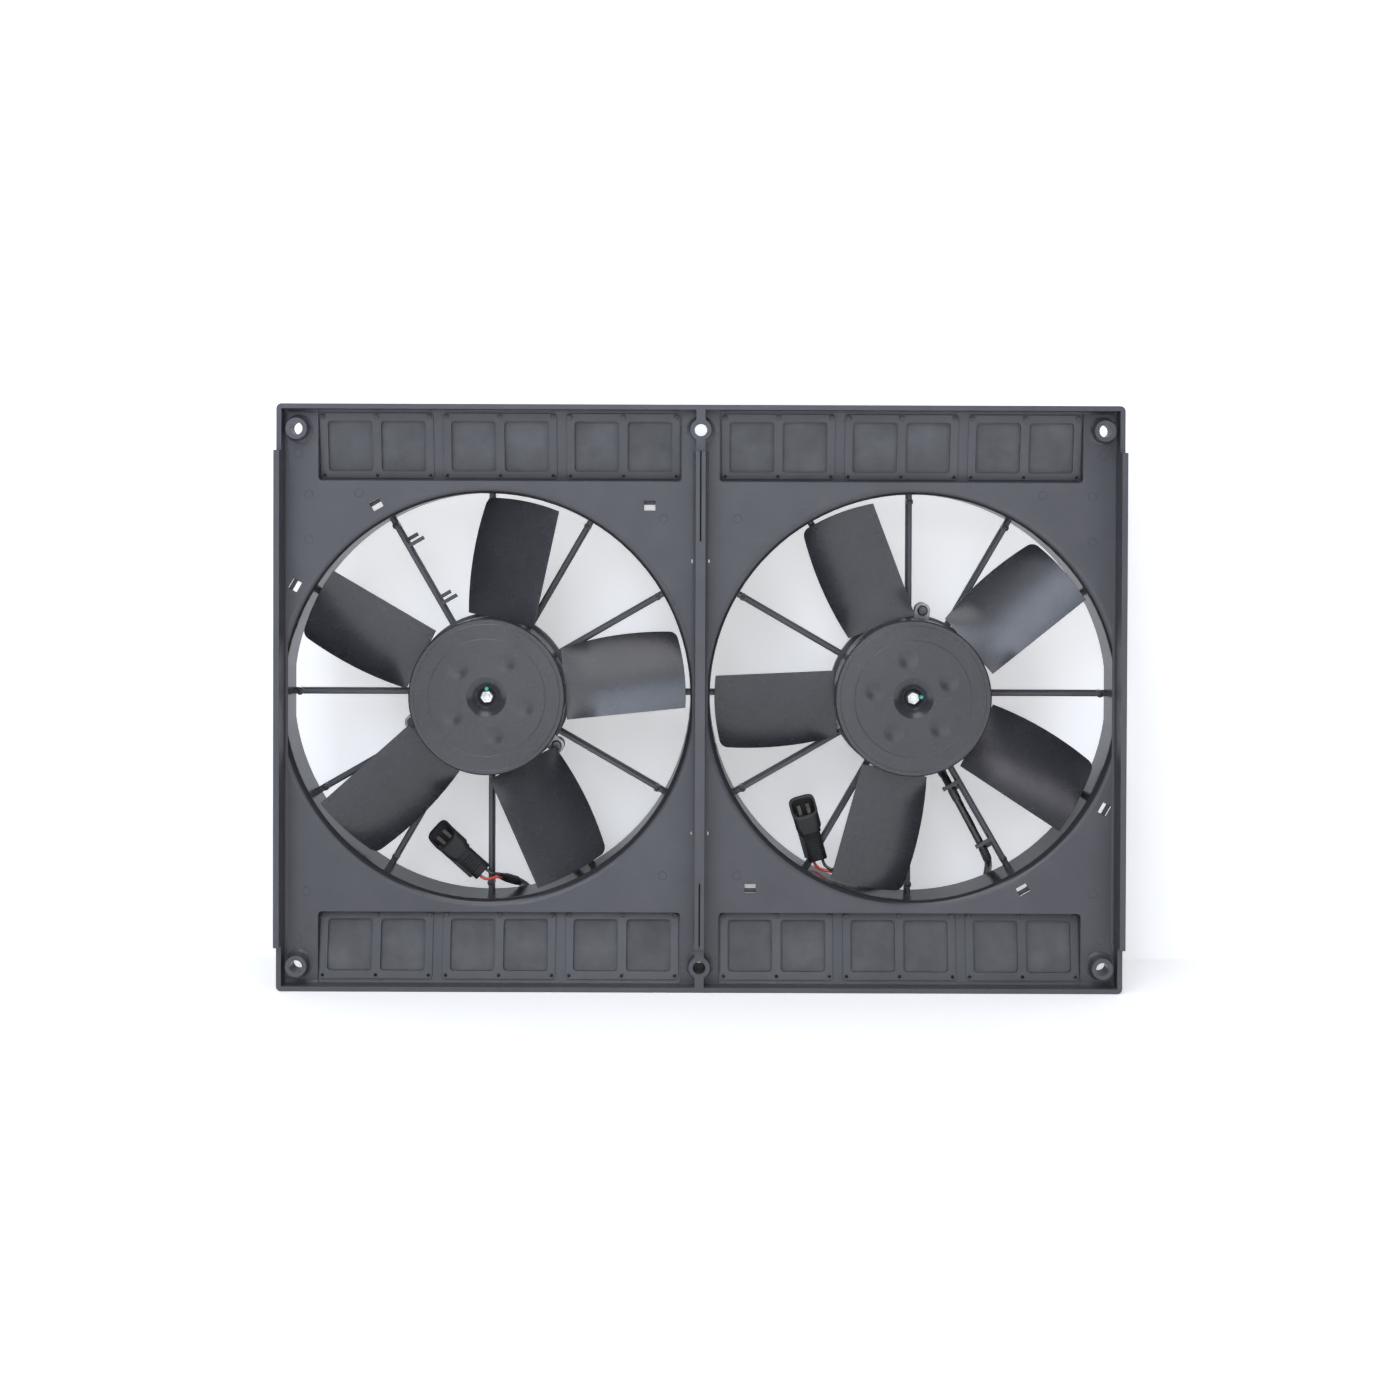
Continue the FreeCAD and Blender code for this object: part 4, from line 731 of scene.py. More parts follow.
class GeometryTree:
    """A Geometry Nodes tree with named inputs, baked to a plain mesh."""

    def __init__(self, name: str, sizes: dict[str, float]) -> None:
        """Start a tree.

        Args:
            name: Tree name.
            sizes: Named number inputs and their defaults.
        """
        self.tree = bpy.data.node_groups.new(name, "GeometryNodeTree")
        self.tree.interface.new_socket("Geometry", in_out="INPUT", socket_type="NodeSocketGeometry")
        self.tree.interface.new_socket("Geometry", in_out="OUTPUT", socket_type="NodeSocketGeometry")
        self.keys = {}
        for size, value in sizes.items():
            socket = self.tree.interface.new_socket(size, in_out="INPUT", socket_type="NodeSocketFloat")
            socket.default_value = value
            self.keys[size] = socket.identifier
        self.finish_key = self.tree.interface.new_socket("Finish", in_out="INPUT",
                                                         socket_type="NodeSocketMaterial").identifier
        self.start = self.tree.nodes.new("NodeGroupInput")

    def size(self, name: str) -> bpy.types.NodeSocket:
        """The socket of a named size."""
        return self.start.outputs[name]

    def node(self, kind: str, inputs: dict | None = None, **props: object) -> bpy.types.Node:
        """Add a node.

        Args:
            kind: Node type name.
            inputs: Input name or index to a value or a socket.
            **props: Node properties.

        Returns:
            The node.
        """
        made = self.tree.nodes.new(kind)
        for name, value in props.items():
            setattr(made, name, value)
        for name, value in (inputs or {}).items():
            if isinstance(value, bpy.types.NodeSocket):
                self.tree.links.new(value, made.inputs[name])
            else:
                made.inputs[name].default_value = value
        return made

    def math(self, operation: str, a: object, b: object = 0.0) -> bpy.types.NodeSocket:
        """Arithmetic on two values."""
        return self.node("ShaderNodeMath", {0: a, 1: b}, operation=operation).outputs[0]

    def upright(self, geometry: bpy.types.NodeSocket, lift: object = 0.0) -> bpy.types.NodeSocket:
        """Turn a shape that stands along Z so that it points to -Y.

        Args:
            geometry: The shape.
            lift: How far it is raised along Z first.

        Returns:
            The turned shape.
        """
        raised = self.node("GeometryNodeTransform", {"Geometry": geometry, "Translation": self.node(
            "ShaderNodeCombineXYZ", {"Z": lift}).outputs[0]})
        return self.node("GeometryNodeTransform", {"Geometry": raised.outputs[0],
                                                   "Rotation": (math.pi / 2, 0.0, 0.0)}).outputs[0]

    def on_points(self, shape: bpy.types.NodeSocket) -> None:
        """Put the shape on every input point, turned by its turn attribute, and close the tree.

        Args:
            shape: What is repeated.
        """
        turn = self.node("GeometryNodeInputNamedAttribute", {"Name": "turn"}, data_type="FLOAT_VECTOR")
        rotation = self.node("FunctionNodeEulerToRotation", {0: turn.outputs[0]})
        placed = self.node("GeometryNodeInstanceOnPoints",
                           {"Points": self.start.outputs["Geometry"], "Instance": shape,
                            "Rotation": rotation.outputs[0]})
        self.close(placed.outputs[0])

    def close(self, geometry: bpy.types.NodeSocket) -> None:
        """End the tree in realized, dressed geometry.

        Args:
            geometry: What the tree has made.
        """
        real = self.node("GeometryNodeRealizeInstances", {0: geometry})
        smooth = self.node("GeometryNodeSetShadeSmooth", {"Geometry": real.outputs[0], "Shade Smooth": True})
        dressed = self.node("GeometryNodeSetMaterial", {"Geometry": smooth.outputs[0],
                                                        "Material": self.start.outputs["Finish"]})
        end = self.tree.nodes.new("NodeGroupOutput")
        self.tree.links.new(dressed.outputs[0], end.inputs["Geometry"])

    def bake(self, name: str, base: bpy.types.Mesh, material: bpy.types.Material,
             sizes: dict[str, float] | None = None) -> bpy.types.Mesh:
        """Run the tree on a mesh and keep the result as a plain mesh.

        Args:
            name: Name of the new mesh.
            base: What the tree starts from.
            material: Finish of the result.
            sizes: Named inputs that differ from their defaults.

        Returns:
            The new mesh.
        """
        carrier = bpy.data.objects.new(name + "_carrier", base)
        bpy.context.scene.collection.objects.link(carrier)
        modifier = carrier.modifiers.new("tree", "NODES")
        modifier.node_group = self.tree
        for size, value in (sizes or {}).items():
            modifier[self.keys[size]] = value
        modifier[self.finish_key] = material
        bpy.context.view_layer.update()
        shown = carrier.evaluated_get(bpy.context.evaluated_depsgraph_get())
        mesh = bpy.data.meshes.new_from_object(shown)
        carrier.modifiers.remove(modifier)
        bpy.data.objects.remove(carrier)
        mesh.name = name
        return mesh


def point_mesh(points: list[Vector], turns: list[Point] | None = None) -> bpy.types.Mesh:
    """Loose points with a turn each.

    Args:
        points: Where they are.
        turns: Euler turns, or None for unturned.

    Returns:
        The mesh.
    """
    mesh = bpy.data.meshes.new("points")
    mesh.from_pydata([tuple(point) for point in points], [], [])
    turn = mesh.attributes.new("turn", "FLOAT_VECTOR", "POINT")
    flat = [value for angles in (turns or [(0.0, 0.0, 0.0)] * len(points)) for value in angles]
    turn.data.foreach_set("vector", flat)
    return mesh


def button_tree() -> GeometryTree:
    """Round domed buttons that point to -Y: pin heads, ejector marks and foot marks."""
    tree = GeometryTree("round_buttons", {"Radius": 0.002, "Height": 0.0006, "Crown": 0.0003})
    radius, height, crown = (tree.size(name) for name in ("Radius", "Height", "Crown"))
    barrel = tree.node("GeometryNodeMeshCylinder", {"Vertices": 24, "Radius": radius, "Depth": height},
                       fill_type="NGON").outputs["Mesh"]
    dome = tree.node("GeometryNodeMeshUVSphere", {"Segments": 24, "Rings": 12, "Radius": 1.0}).outputs["Mesh"]
    shape = tree.node("ShaderNodeCombineXYZ", {"X": radius, "Y": radius, "Z": crown}).outputs[0]
    lift = tree.node("ShaderNodeCombineXYZ", {"Z": tree.math("MULTIPLY", height, 0.5)}).outputs[0]
    cap = tree.node("GeometryNodeTransform",
                    {"Geometry": dome, "Scale": shape, "Translation": lift}).outputs[0]
    both = tree.node("GeometryNodeJoinGeometry")
    for part in (barrel, cap):
        tree.tree.links.new(part, both.inputs[0])
    tree.on_points(tree.upright(both.outputs[0], tree.math("MULTIPLY", height, 0.5)))
    return tree


def ring_tree() -> GeometryTree:
    """Thin round rings that lie in the XZ plane: witness rings of ejector pins."""
    tree = GeometryTree("witness_rings", {"Radius": 0.003, "Line": 0.00014})
    circle = tree.node("GeometryNodeCurvePrimitiveCircle", {"Resolution": 28, "Radius": tree.size("Radius")})
    line = tree.node("GeometryNodeCurvePrimitiveCircle", {"Resolution": 6, "Radius": tree.size("Line")})
    loop = tree.node("GeometryNodeCurveToMesh",
                     {"Curve": circle.outputs[0], "Profile Curve": line.outputs[0]})
    tree.on_points(tree.upright(loop.outputs[0]))
    return tree


def rib_tree() -> GeometryTree:
    """Straight round-topped ribs along local X."""
    tree = GeometryTree("grip_ribs", {"Long": 0.008, "Radius": 0.0004})
    half = tree.math("MULTIPLY", tree.size("Long"), 0.5)
    start = tree.node("ShaderNodeCombineXYZ", {"X": tree.math("MULTIPLY", half, -1.0)}).outputs[0]
    end = tree.node("ShaderNodeCombineXYZ", {"X": half}).outputs[0]
    line = tree.node("GeometryNodeCurvePrimitiveLine", {"Start": start, "End": end})
    round_end = tree.node("GeometryNodeCurvePrimitiveCircle",
                          {"Resolution": 8, "Radius": tree.size("Radius")})
    bar = tree.node("GeometryNodeCurveToMesh",
                    {"Curve": line.outputs[0], "Profile Curve": round_end.outputs[0], "Fill Caps": True})
    tree.on_points(bar.outputs[0])
    return tree


# --------------------------------------------------------------------------------------
# Shared sizes of the moulding, in metres
# --------------------------------------------------------------------------------------
@dataclass(frozen=True)
class ShroudSizes:
    """Where the moulding's faces and centres are."""

    half_width: float = 0.3225
    half_height: float = 0.224
    plate_front: float = 0.0145
    side_wall: float = 0.0044
    rim_wall: float = 0.0038
    tall_wall_half: float = 0.1885
    rib_half: float = 0.00385
    ring_x: float = 0.1635
    throat_radius: float = 0.156
    spoke_front: float = 0.056
    boss_x: float = 0.3075
    boss_z: float = 0.205
    boss_radius: float = 0.0082
    pair_x: tuple[float, ...] = (0.0595, 0.1541, 0.2487)
    pocket_inner_x: float = 0.0146
    pocket_outer_x: float = 0.2928
    pocket_low: float = 0.1654
    pocket_deep: float = 0.0125
    pocket_shallow: float = 0.0015
    pocket_floor: float = 0.0024
    pad_high: float = 0.001
    pin_spacing: float = 0.0407
    pin_low: float = 0.1693
    pin_top: float = 0.2146

    @property
    def slope(self) -> float:
        """Rise of a pocket's ramp for each metre towards the rim."""
        return (self.pocket_deep - self.pocket_shallow) / (self.half_height - self.rim_wall - self.pocket_low)

    def floor_back(self, height: float) -> float:
        """Depth of the ramp's back face.

        Args:
            height: Distance from the middle of the shroud.

        Returns:
            Depth along Y.
        """
        deep = self.plate_front + self.pocket_deep + self.pocket_floor
        return deep - self.slope * (abs(height) - self.pocket_low)


SIZES = ShroudSizes()
SIDES = {"left": -SIZES.ring_x, "right": SIZES.ring_x}


# --------------------------------------------------------------------------------------
# Leads
# --------------------------------------------------------------------------------------
def beside_spoke(along: float, aside: float, depth: float) -> Vector:
    """Point beside the clipped spoke, from the ring's centre.

    Args:
        along: Distance along the spoke.
        aside: Distance off its lower side.
        depth: Depth along Y.

    Returns:
        The point.
    """
    turn = math.radians(-60)
    return Vector((along * math.cos(turn) + aside * math.sin(turn), depth,
                   along * math.sin(turn) - aside * math.cos(turn)))


@dataclass
class Lead:
    """A motor lead in its sleeve, clipped to a spoke, and its sealed connector."""

    side: str
    tail: tuple[Point, ...]
    length: float
    diameter: float = 0.006
    ring_step: float = 0.0011
    ring_corners: int = 20
    clipped: tuple[Point, ...] = ((0.0531, 0.0075, 0.079), (0.063, 0.0075, 0.079), (0.0745, 0.0077, 0.0618),
                                  (0.106, 0.0085, 0.0612), (0.142, 0.0098, 0.0614), (0.1515, 0.012, 0.0695))
    behind_ring: Point = (0.0635, 0.080, -0.153)

    def route(self) -> list[Vector]:
        """The route's points in the row frame."""
        centre = Vector((SIDES[self.side], 0, 0))
        local = [beside_spoke(*point) for point in self.clipped] + [Vector(self.behind_ring)]
        return [centre + point for point in local + [Vector(point) for point in self.tail]]

    def centreline(self) -> list[Vector]:
        """Points of the smooth line through the route."""
        curve = bpy.data.curves.new(self.side + "_lead_line", "CURVE")
        curve.dimensions = "3D"
        curve.resolution_u = 24
        spline = curve.splines.new("NURBS")
        points = self.route()
        spline.points.add(len(points) - 1)
        for slot, point in zip(spline.points, points):
            slot.co = (*point, 1.0)
        spline.order_u = 3
        spline.use_endpoint_u = True
        carrier = bpy.data.objects.new(self.side + "_lead_line", curve)
        bpy.context.scene.collection.objects.link(carrier)
        bpy.context.view_layer.update()
        line = bpy.data.meshes.new_from_object(carrier.evaluated_get(bpy.context.evaluated_depsgraph_get()))
        found = [vertex.co.copy() for vertex in line.vertices]
        bpy.data.objects.remove(carrier)
        return found

    def sleeve_mesh(self, line: list[Vector], material: bpy.types.Material) -> bpy.types.Mesh:
        """Sleeve skin: slightly uneven, pinched at its ends.

        Args:
            line: Points of the centreline.
            material: Its finish.

        Returns:
            The mesh.
        """
        lengths = np.cumsum([0.0] + [(b - a).length for a, b in zip(line, line[1:])])
        rows = int(lengths[-1] / self.ring_step)
        stations = np.linspace(0.0, lengths[-1], rows)
        spots = np.array([[np.interp(s, lengths, [point[axis] for point in line]) for axis in range(3)]
                          for s in stations])
        random = np.random.default_rng(11 if self.side == "left" else 23)
        creases = np.convolve(random.normal(0.0, 1.0, rows + 8), np.ones(4) / 4, "same")[4:-4]
        sections, across = [], Vector((0, 0, 1))
        for row in range(rows):
            ahead = Vector(spots[min(row + 1, rows - 1)] - spots[max(row - 1, 0)]).normalized()
            across = (across - ahead * across.dot(ahead)).normalized()
            other = ahead.cross(across)
            end = min(row, rows - 1 - row)
            radius = self.diameter / 2 * (1.0 - 0.10 * math.exp(-end / 1.2)) + 0.00007 * creases[row]
            sections.append([Vector(spots[row]) + (across * math.cos(turn) + other * math.sin(turn))
                             * (radius + 0.00005 * math.sin(3 * turn + row * 0.35))
                             for turn in self.ring_turns()])
        return mesh_of(self.side + "_sleeve", [tube_part(sections)], material, 60.0)

    def ring_turns(self) -> list[float]:
        """Angles of the corners round the lead."""
        return [math.tau * i / self.ring_corners for i in range(self.ring_corners)]

    def tape_mesh(self, line: list[Vector], start: float, long: float, material: bpy.types.Material) \
            -> bpy.types.Mesh:
        """A few overlapping turns of tape round the sleeve.

        Args:
            line: Points of the centreline.
            start: Distance along the line where the tape starts.
            long: Length that it covers.
            material: Its finish.

        Returns:
            The mesh.
        """
        lengths = np.cumsum([0.0] + [(b - a).length for a, b in zip(line, line[1:])])
        rows = 26
        sections, across = [], Vector((0, 0, 1))
        for row in range(rows):
            at = start + long * row / (rows - 1)
            spot, near, far = (Vector([float(np.interp(s, lengths, [point[axis] for point in line]))
                                       for axis in range(3)]) for s in (at, at - MM, at + MM))
            ahead = (far - near).normalized()
            across = (across - ahead * across.dot(ahead)).normalized()
            other = ahead.cross(across)
            lap = 0.00022 if row % 5 < 2 else 0.0
            edge = -0.00025 if row in (0, rows - 1) else 0.0
            radius = self.diameter / 2 + 0.00038 + lap + edge
            sections.append([spot + (across * math.cos(turn) + other * math.sin(turn)) * radius
                             for turn in self.ring_turns()])
        return mesh_of(self.side + "_tape", [tube_part(sections)], material, 50.0)

    def build(self, sleeve: bpy.types.Material, tape: bpy.types.Material,
              far: list[bpy.types.Object]) -> None:
        """Make the sleeve with its tape.

        Args:
            sleeve: Finish of the sleeve.
            tape: Finish of the tape.
            far: Pieces at the far end; not used.
        """
        line = self.centreline()
        cover = made_piece(self.side + "_sleeve", self.sleeve_mesh(line, sleeve), "shroud")
        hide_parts(self.side + "_lead_sleeve")
        whole = sum((b - a).length for a, b in zip(line, line[1:]))
        pieces = [made_piece(f"{self.side}_tape_{index}", self.tape_mesh(line, start, long, tape), "shroud")
                  for index, (start, long) in enumerate(((0.010, 0.012), (0.036, 0.009), (0.088, 0.011),
                                                         (whole - 0.018, 0.014)), start=1)]
        log.info("%s lead: smooth line %.4f m, tube %.4f m", self.side, whole, self.length)


# --------------------------------------------------------------------------------------
# Moulding
# --------------------------------------------------------------------------------------
@dataclass
class Moulding:
    """The one-piece shroud: finish, corner fillets and tool marks."""

    plastic: MouldedPlastic
    cove: float = 0.0022
    boss_cove: float = 0.0026
    tail_bore: float = 0.0052
    tail_end: float = 0.046
    mark_points: tuple[tuple[float, float], ...] = (
        (0.300, 0.155), (0.302, -0.150), (0.262, 0.156), (0.300, 0.120), (0.0285, 0.137), (0.0285, -0.137),
        (0.012, 0.205), (0.012, -0.205), (0.308, 0.186), (0.308, -0.186))

    def coves(self) -> list[tuple[list[Vector], list[tuple[int, ...]]]]:
        """Fillets where the walls, the rib and the bosses stand on the plate."""
        s = SIZES
        parts = []
        for x_sign in (-1, 1):
            wall = x_sign * (s.half_width - s.side_wall)
            corner = x_sign * (s.half_width - s.rim_wall)
            inward, out = Vector((-x_sign, 0, 0)), Vector((0, -1, 0))
            parts.append(straight_cove(Vector((wall, s.plate_front, -s.tall_wall_half)),
                                       Vector((wall, s.plate_front, s.tall_wall_half)),
                                       inward, out, self.cove))
            parts.append(straight_cove(Vector((x_sign * s.rib_half, s.plate_front, -s.tall_wall_half)),
                                       Vector((x_sign * s.rib_half, s.plate_front, s.tall_wall_half)),
                                       -inward, out, self.cove))
            for z_sign in (-1, 1):
                low, high = z_sign * s.tall_wall_half, z_sign * (s.half_height - s.rim_wall)
                parts.append(straight_cove(Vector((corner, s.plate_front, low)),
                                           Vector((corner, s.plate_front, high)), inward, out, self.cove))
                down = Vector((0, 0, -z_sign))
                parts.append(straight_cove(Vector((x_sign * s.pocket_outer_x, s.plate_front, high)),
                                           Vector((corner, s.plate_front, high)), down, out, self.cove))
                ramp_end = s.plate_front + s.pocket_shallow
                parts.append(straight_cove(Vector((x_sign * s.pocket_inner_x, ramp_end, high)),
                                           Vector((x_sign * s.pocket_outer_x, ramp_end, high)), down, out,
                                           self.cove * 0.7))
                parts.append(ring_cove(Vector((x_sign * s.boss_x, s.plate_front, z_sign * s.boss_z)),
                                       s.boss_radius, self.boss_cove))
        for z_sign in (-1, 1):
            parts.append(ring_cove(Vector((0, s.plate_front, z_sign * s.boss_z)), s.boss_radius,
                                   self.boss_cove))
        return parts

    def boss_tails(self, plastic: bpy.types.Material) -> None:
        """Tubes that carry the two middle bosses on behind the plate.

        Args:
            plastic: The moulding's material.
        """
        parts = []
        for z_sign in (-1, 1):
            centre = Vector((0, 0, z_sign * SIZES.boss_z))
            rings = []
            root = SIZES.plate_front + 0.0031
            for radius, depth in ((self.tail_bore, root), (self.tail_bore, self.tail_end),
                                  (self.tail_bore + 0.0004, self.tail_end + 0.0003),
                                  (SIZES.boss_radius - 0.0016, self.tail_end + 0.0003),
                                  (SIZES.boss_radius - 0.0010, self.tail_end - 0.0004),
                                  (SIZES.boss_radius - 0.0004, root)):
                rings.append([centre + Vector((math.cos(turn) * radius, depth, math.sin(turn) * radius))
                              for turn in (math.tau * i / 48 for i in range(48))])
            parts.append(tube_part(rings, False, True))
        made_piece("middle_boss_tails", mesh_of("middle_boss_tails", parts, plastic, 40.0),
                   "shroud")

    def foot_marks(self, plastic: bpy.types.Material) -> None:
        """Round ejector marks on the spoke feet and on the plate.

        Args:
            plastic: The moulding's material.
        """
        points = []
        for x in SIDES.values():
            for index in range(12):
                turn = math.tau * index / 12
                reach = SIZES.throat_radius - 0.0058
                points.append(Vector((x + math.cos(turn) * reach, SIZES.spoke_front, math.sin(turn) * reach)))
        feet = button_tree().bake("spoke_foot_marks", point_mesh(points), plastic,
                                  {"Radius": 0.0017, "Height": 0.0003, "Crown": 0.0003})
        made_piece("spoke_foot_marks", feet, "shroud")
        rings = [Vector((x * a, SIZES.plate_front - 0.00002, z))
                 for x, z in self.mark_points for a in (-1, 1)]
        witness = ring_tree().bake("ejector_rings", point_mesh(rings), plastic,
                                   {"Radius": 0.0032, "Line": 0.00013})
        made_piece("ejector_rings", witness, "shroud")

    def build(self) -> bpy.types.Material:
        """Dress the moulding and add its fillets and marks.

        Returns:
            The moulding's material.
        """
        plastic = self.plastic.material()
        dress("shroud_moulding", plastic)
        made_piece("wall_fillets", mesh_of("wall_fillets", self.coves(), plastic), "shroud")
        self.foot_marks(plastic)
        self.boss_tails(plastic)
        return plastic


# --------------------------------------------------------------------------------------
# Rubber flaps
# --------------------------------------------------------------------------------------
@dataclass
class RubberFlap:
    """One relief flap: a rubber sheet pinned along its upper edge, creased where it leaves its strip."""

    name: str
    centre_x: float
    height: float
    tilt: float
    seed: int
    half_wide: float = 0.044
    strip_half: float = 0.0032
    gap: float = 0.0003
    thick: float = 0.0015
    reach: float = 0.0484
    corner: float = 0.003
    step: float = 0.0016
    bend_half: float = 0.0016

    def to_row(self, across: float, off: float, up: float) -> Vector:
        """A point of the flap in the row frame.

        Args:
            across: Distance from the flap's middle along X.
            off: Distance off the ramp's back face.
            up: Distance up the ramp from the pin row.

        Returns:
            The point.
        """
        turn = Matrix.Rotation(self.tilt, 3, "X")
        middle = Vector((self.centre_x, SIZES.floor_back(self.height), self.height))
        return middle + turn @ Vector((across, off, up))

    def half_at(self, up: float) -> float:
        """Half the sheet's width at a height, with its rounded lower corners."""
        rise = up + self.reach
        if rise >= self.corner:
            return self.half_wide
        rounded = math.sqrt(max(self.corner ** 2 - (self.corner - rise) ** 2, 0.0))
        return self.half_wide - self.corner + rounded

    def lift(self, across: float, up: float) -> float:
        """Gap between the sheet's front face and the ramp.

        Args:
            across: Distance from the middle.
            up: Distance from the pin row.

        Returns:
            The gap.
        """
        leaf = min(max((-up - self.strip_half + 0.001) / 0.003, 0.0), 1.0)
        free = min(max(-up / self.reach, 0.0), 1.0)
        wave = 0.5 + 0.5 * math.sin(across * 95.0 + self.seed * 1.7) * math.cos(up * 70.0 + self.seed)
        return 0.00004 + self.gap * leaf + 0.00035 * free ** 2 * wave

    def mesh(self, rubber: bpy.types.Material) -> bpy.types.Mesh:
        """Closed sheet with rounded edges and a raised border on its back.

        Args:
            rubber: Its finish.

        Returns:
            The mesh.
        """
        rows = int((self.reach + self.strip_half) / self.step)
        columns = int(self.half_wide * 2 / self.step)
        front, back = [], []
        for row in range(rows + 1):
            up = -self.reach + (self.reach + self.strip_half) * row / rows
            half = self.half_at(up)
            for column in range(columns + 1):
                across = -half + 2 * half * column / columns
                rim = min(self.half_wide - abs(across), up + self.reach)
                border = 0.00045 * max(0.0, 1.0 - abs(rim - 0.0030) / 0.0016)
                crease = 0.0004 * max(0.0, 1.0 - abs(up + self.strip_half) / 0.0018)
                gap = self.lift(across, up)
                front.append(self.to_row(across, gap, up))
                back.append(self.to_row(across, gap + self.thick + border - crease, up))
        wide = columns + 1
        count = len(front)
        faces = []
        for row in range(rows):
            for column in range(columns):
                a = row * wide + column
                faces.append((a, a + 1, a + wide + 1, a + wide))
                faces.append((count + a, count + a + wide, count + a + wide + 1, count + a + 1))
        edge = [column for column in range(wide)]
        edge += [row * wide + columns for row in range(1, rows + 1)]
        edge += [rows * wide + column for column in range(columns - 1, -1, -1)]
        edge += [row * wide for row in range(rows - 1, 0, -1)]
        for here, there in zip(edge, edge[1:] + edge[:1]):
            faces.append((here, count + here, count + there, there))
        return mesh_of(self.name, [(front + back, faces)], rubber, 50.0)

    def build(self, rubber: bpy.types.Material) -> bpy.types.Object:
        """Make the flap and hide its plain solid.

        Args:
            rubber: Its finish.

        Returns:
            The piece.
        """
        sheet = made_piece(self.name + "_rubber", self.mesh(rubber), "")
        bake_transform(sheet)
        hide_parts(self.name)
        return sheet


@dataclass
class FlapBank:
    """All twelve flaps and their pull-through pins."""

    rubber: SheetRubber
    head_radius: float = 0.0019
    head_high: float = 0.0013
    shank_radius: float = 0.001

    def build(self) -> None:
        """Make the flaps and the pins."""
        rubber = self.rubber.material()
        dress("flap_strips", rubber)
        tilt = math.atan(SIZES.slope)
        centres = sorted(x * sign for x in SIZES.pair_x for sign in (-1, 1))
        pins = []
        for row, height, angle in (("top", SIZES.pin_top, tilt), ("bottom", -SIZES.pin_low, -tilt)):
            for index, x in enumerate(centres, start=1):
                flap = RubberFlap(f"flap_{row}_{index}", x, height, angle, index + (7 if row == "top" else 0))
                sheet = flap.build(rubber)
                pins += [Vector((x + SIZES.pin_spacing * side, 0, height)) for side in (-1, 0, 1)]
        self.pins(pins, rubber)
        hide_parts("flap_strips")

    def pins(self, places: list[Vector], rubber: bpy.types.Material) -> None:
        """Mushroom heads on the pads and their tails behind the sheets.

        Args:
            places: Where the pins stand, at depth 0.
            rubber: Their finish.
        """
        seat = SIZES.pocket_floor + SIZES.pad_high + self.head_radius * SIZES.slope
        heads = [Vector((p.x, SIZES.floor_back(p.z) - seat, p.z)) for p in places]
        fronts = button_tree().bake("flap_pin_heads", point_mesh(heads), rubber,
                                    {"Radius": self.head_radius, "Height": self.head_high * 0.6,
                                     "Crown": self.head_high * 0.4})
        made_piece("flap_pin_heads", fronts, "shroud")
        tails = [Vector((p.x, SIZES.floor_back(p.z) + 0.0022, p.z)) for p in places]
        backs = button_tree().bake("flap_pin_tails", point_mesh(tails), rubber,
                                   {"Radius": self.shank_radius, "Height": seat + 0.002, "Crown": 0.0003})
        made_piece("flap_pin_tails", backs, "shroud")


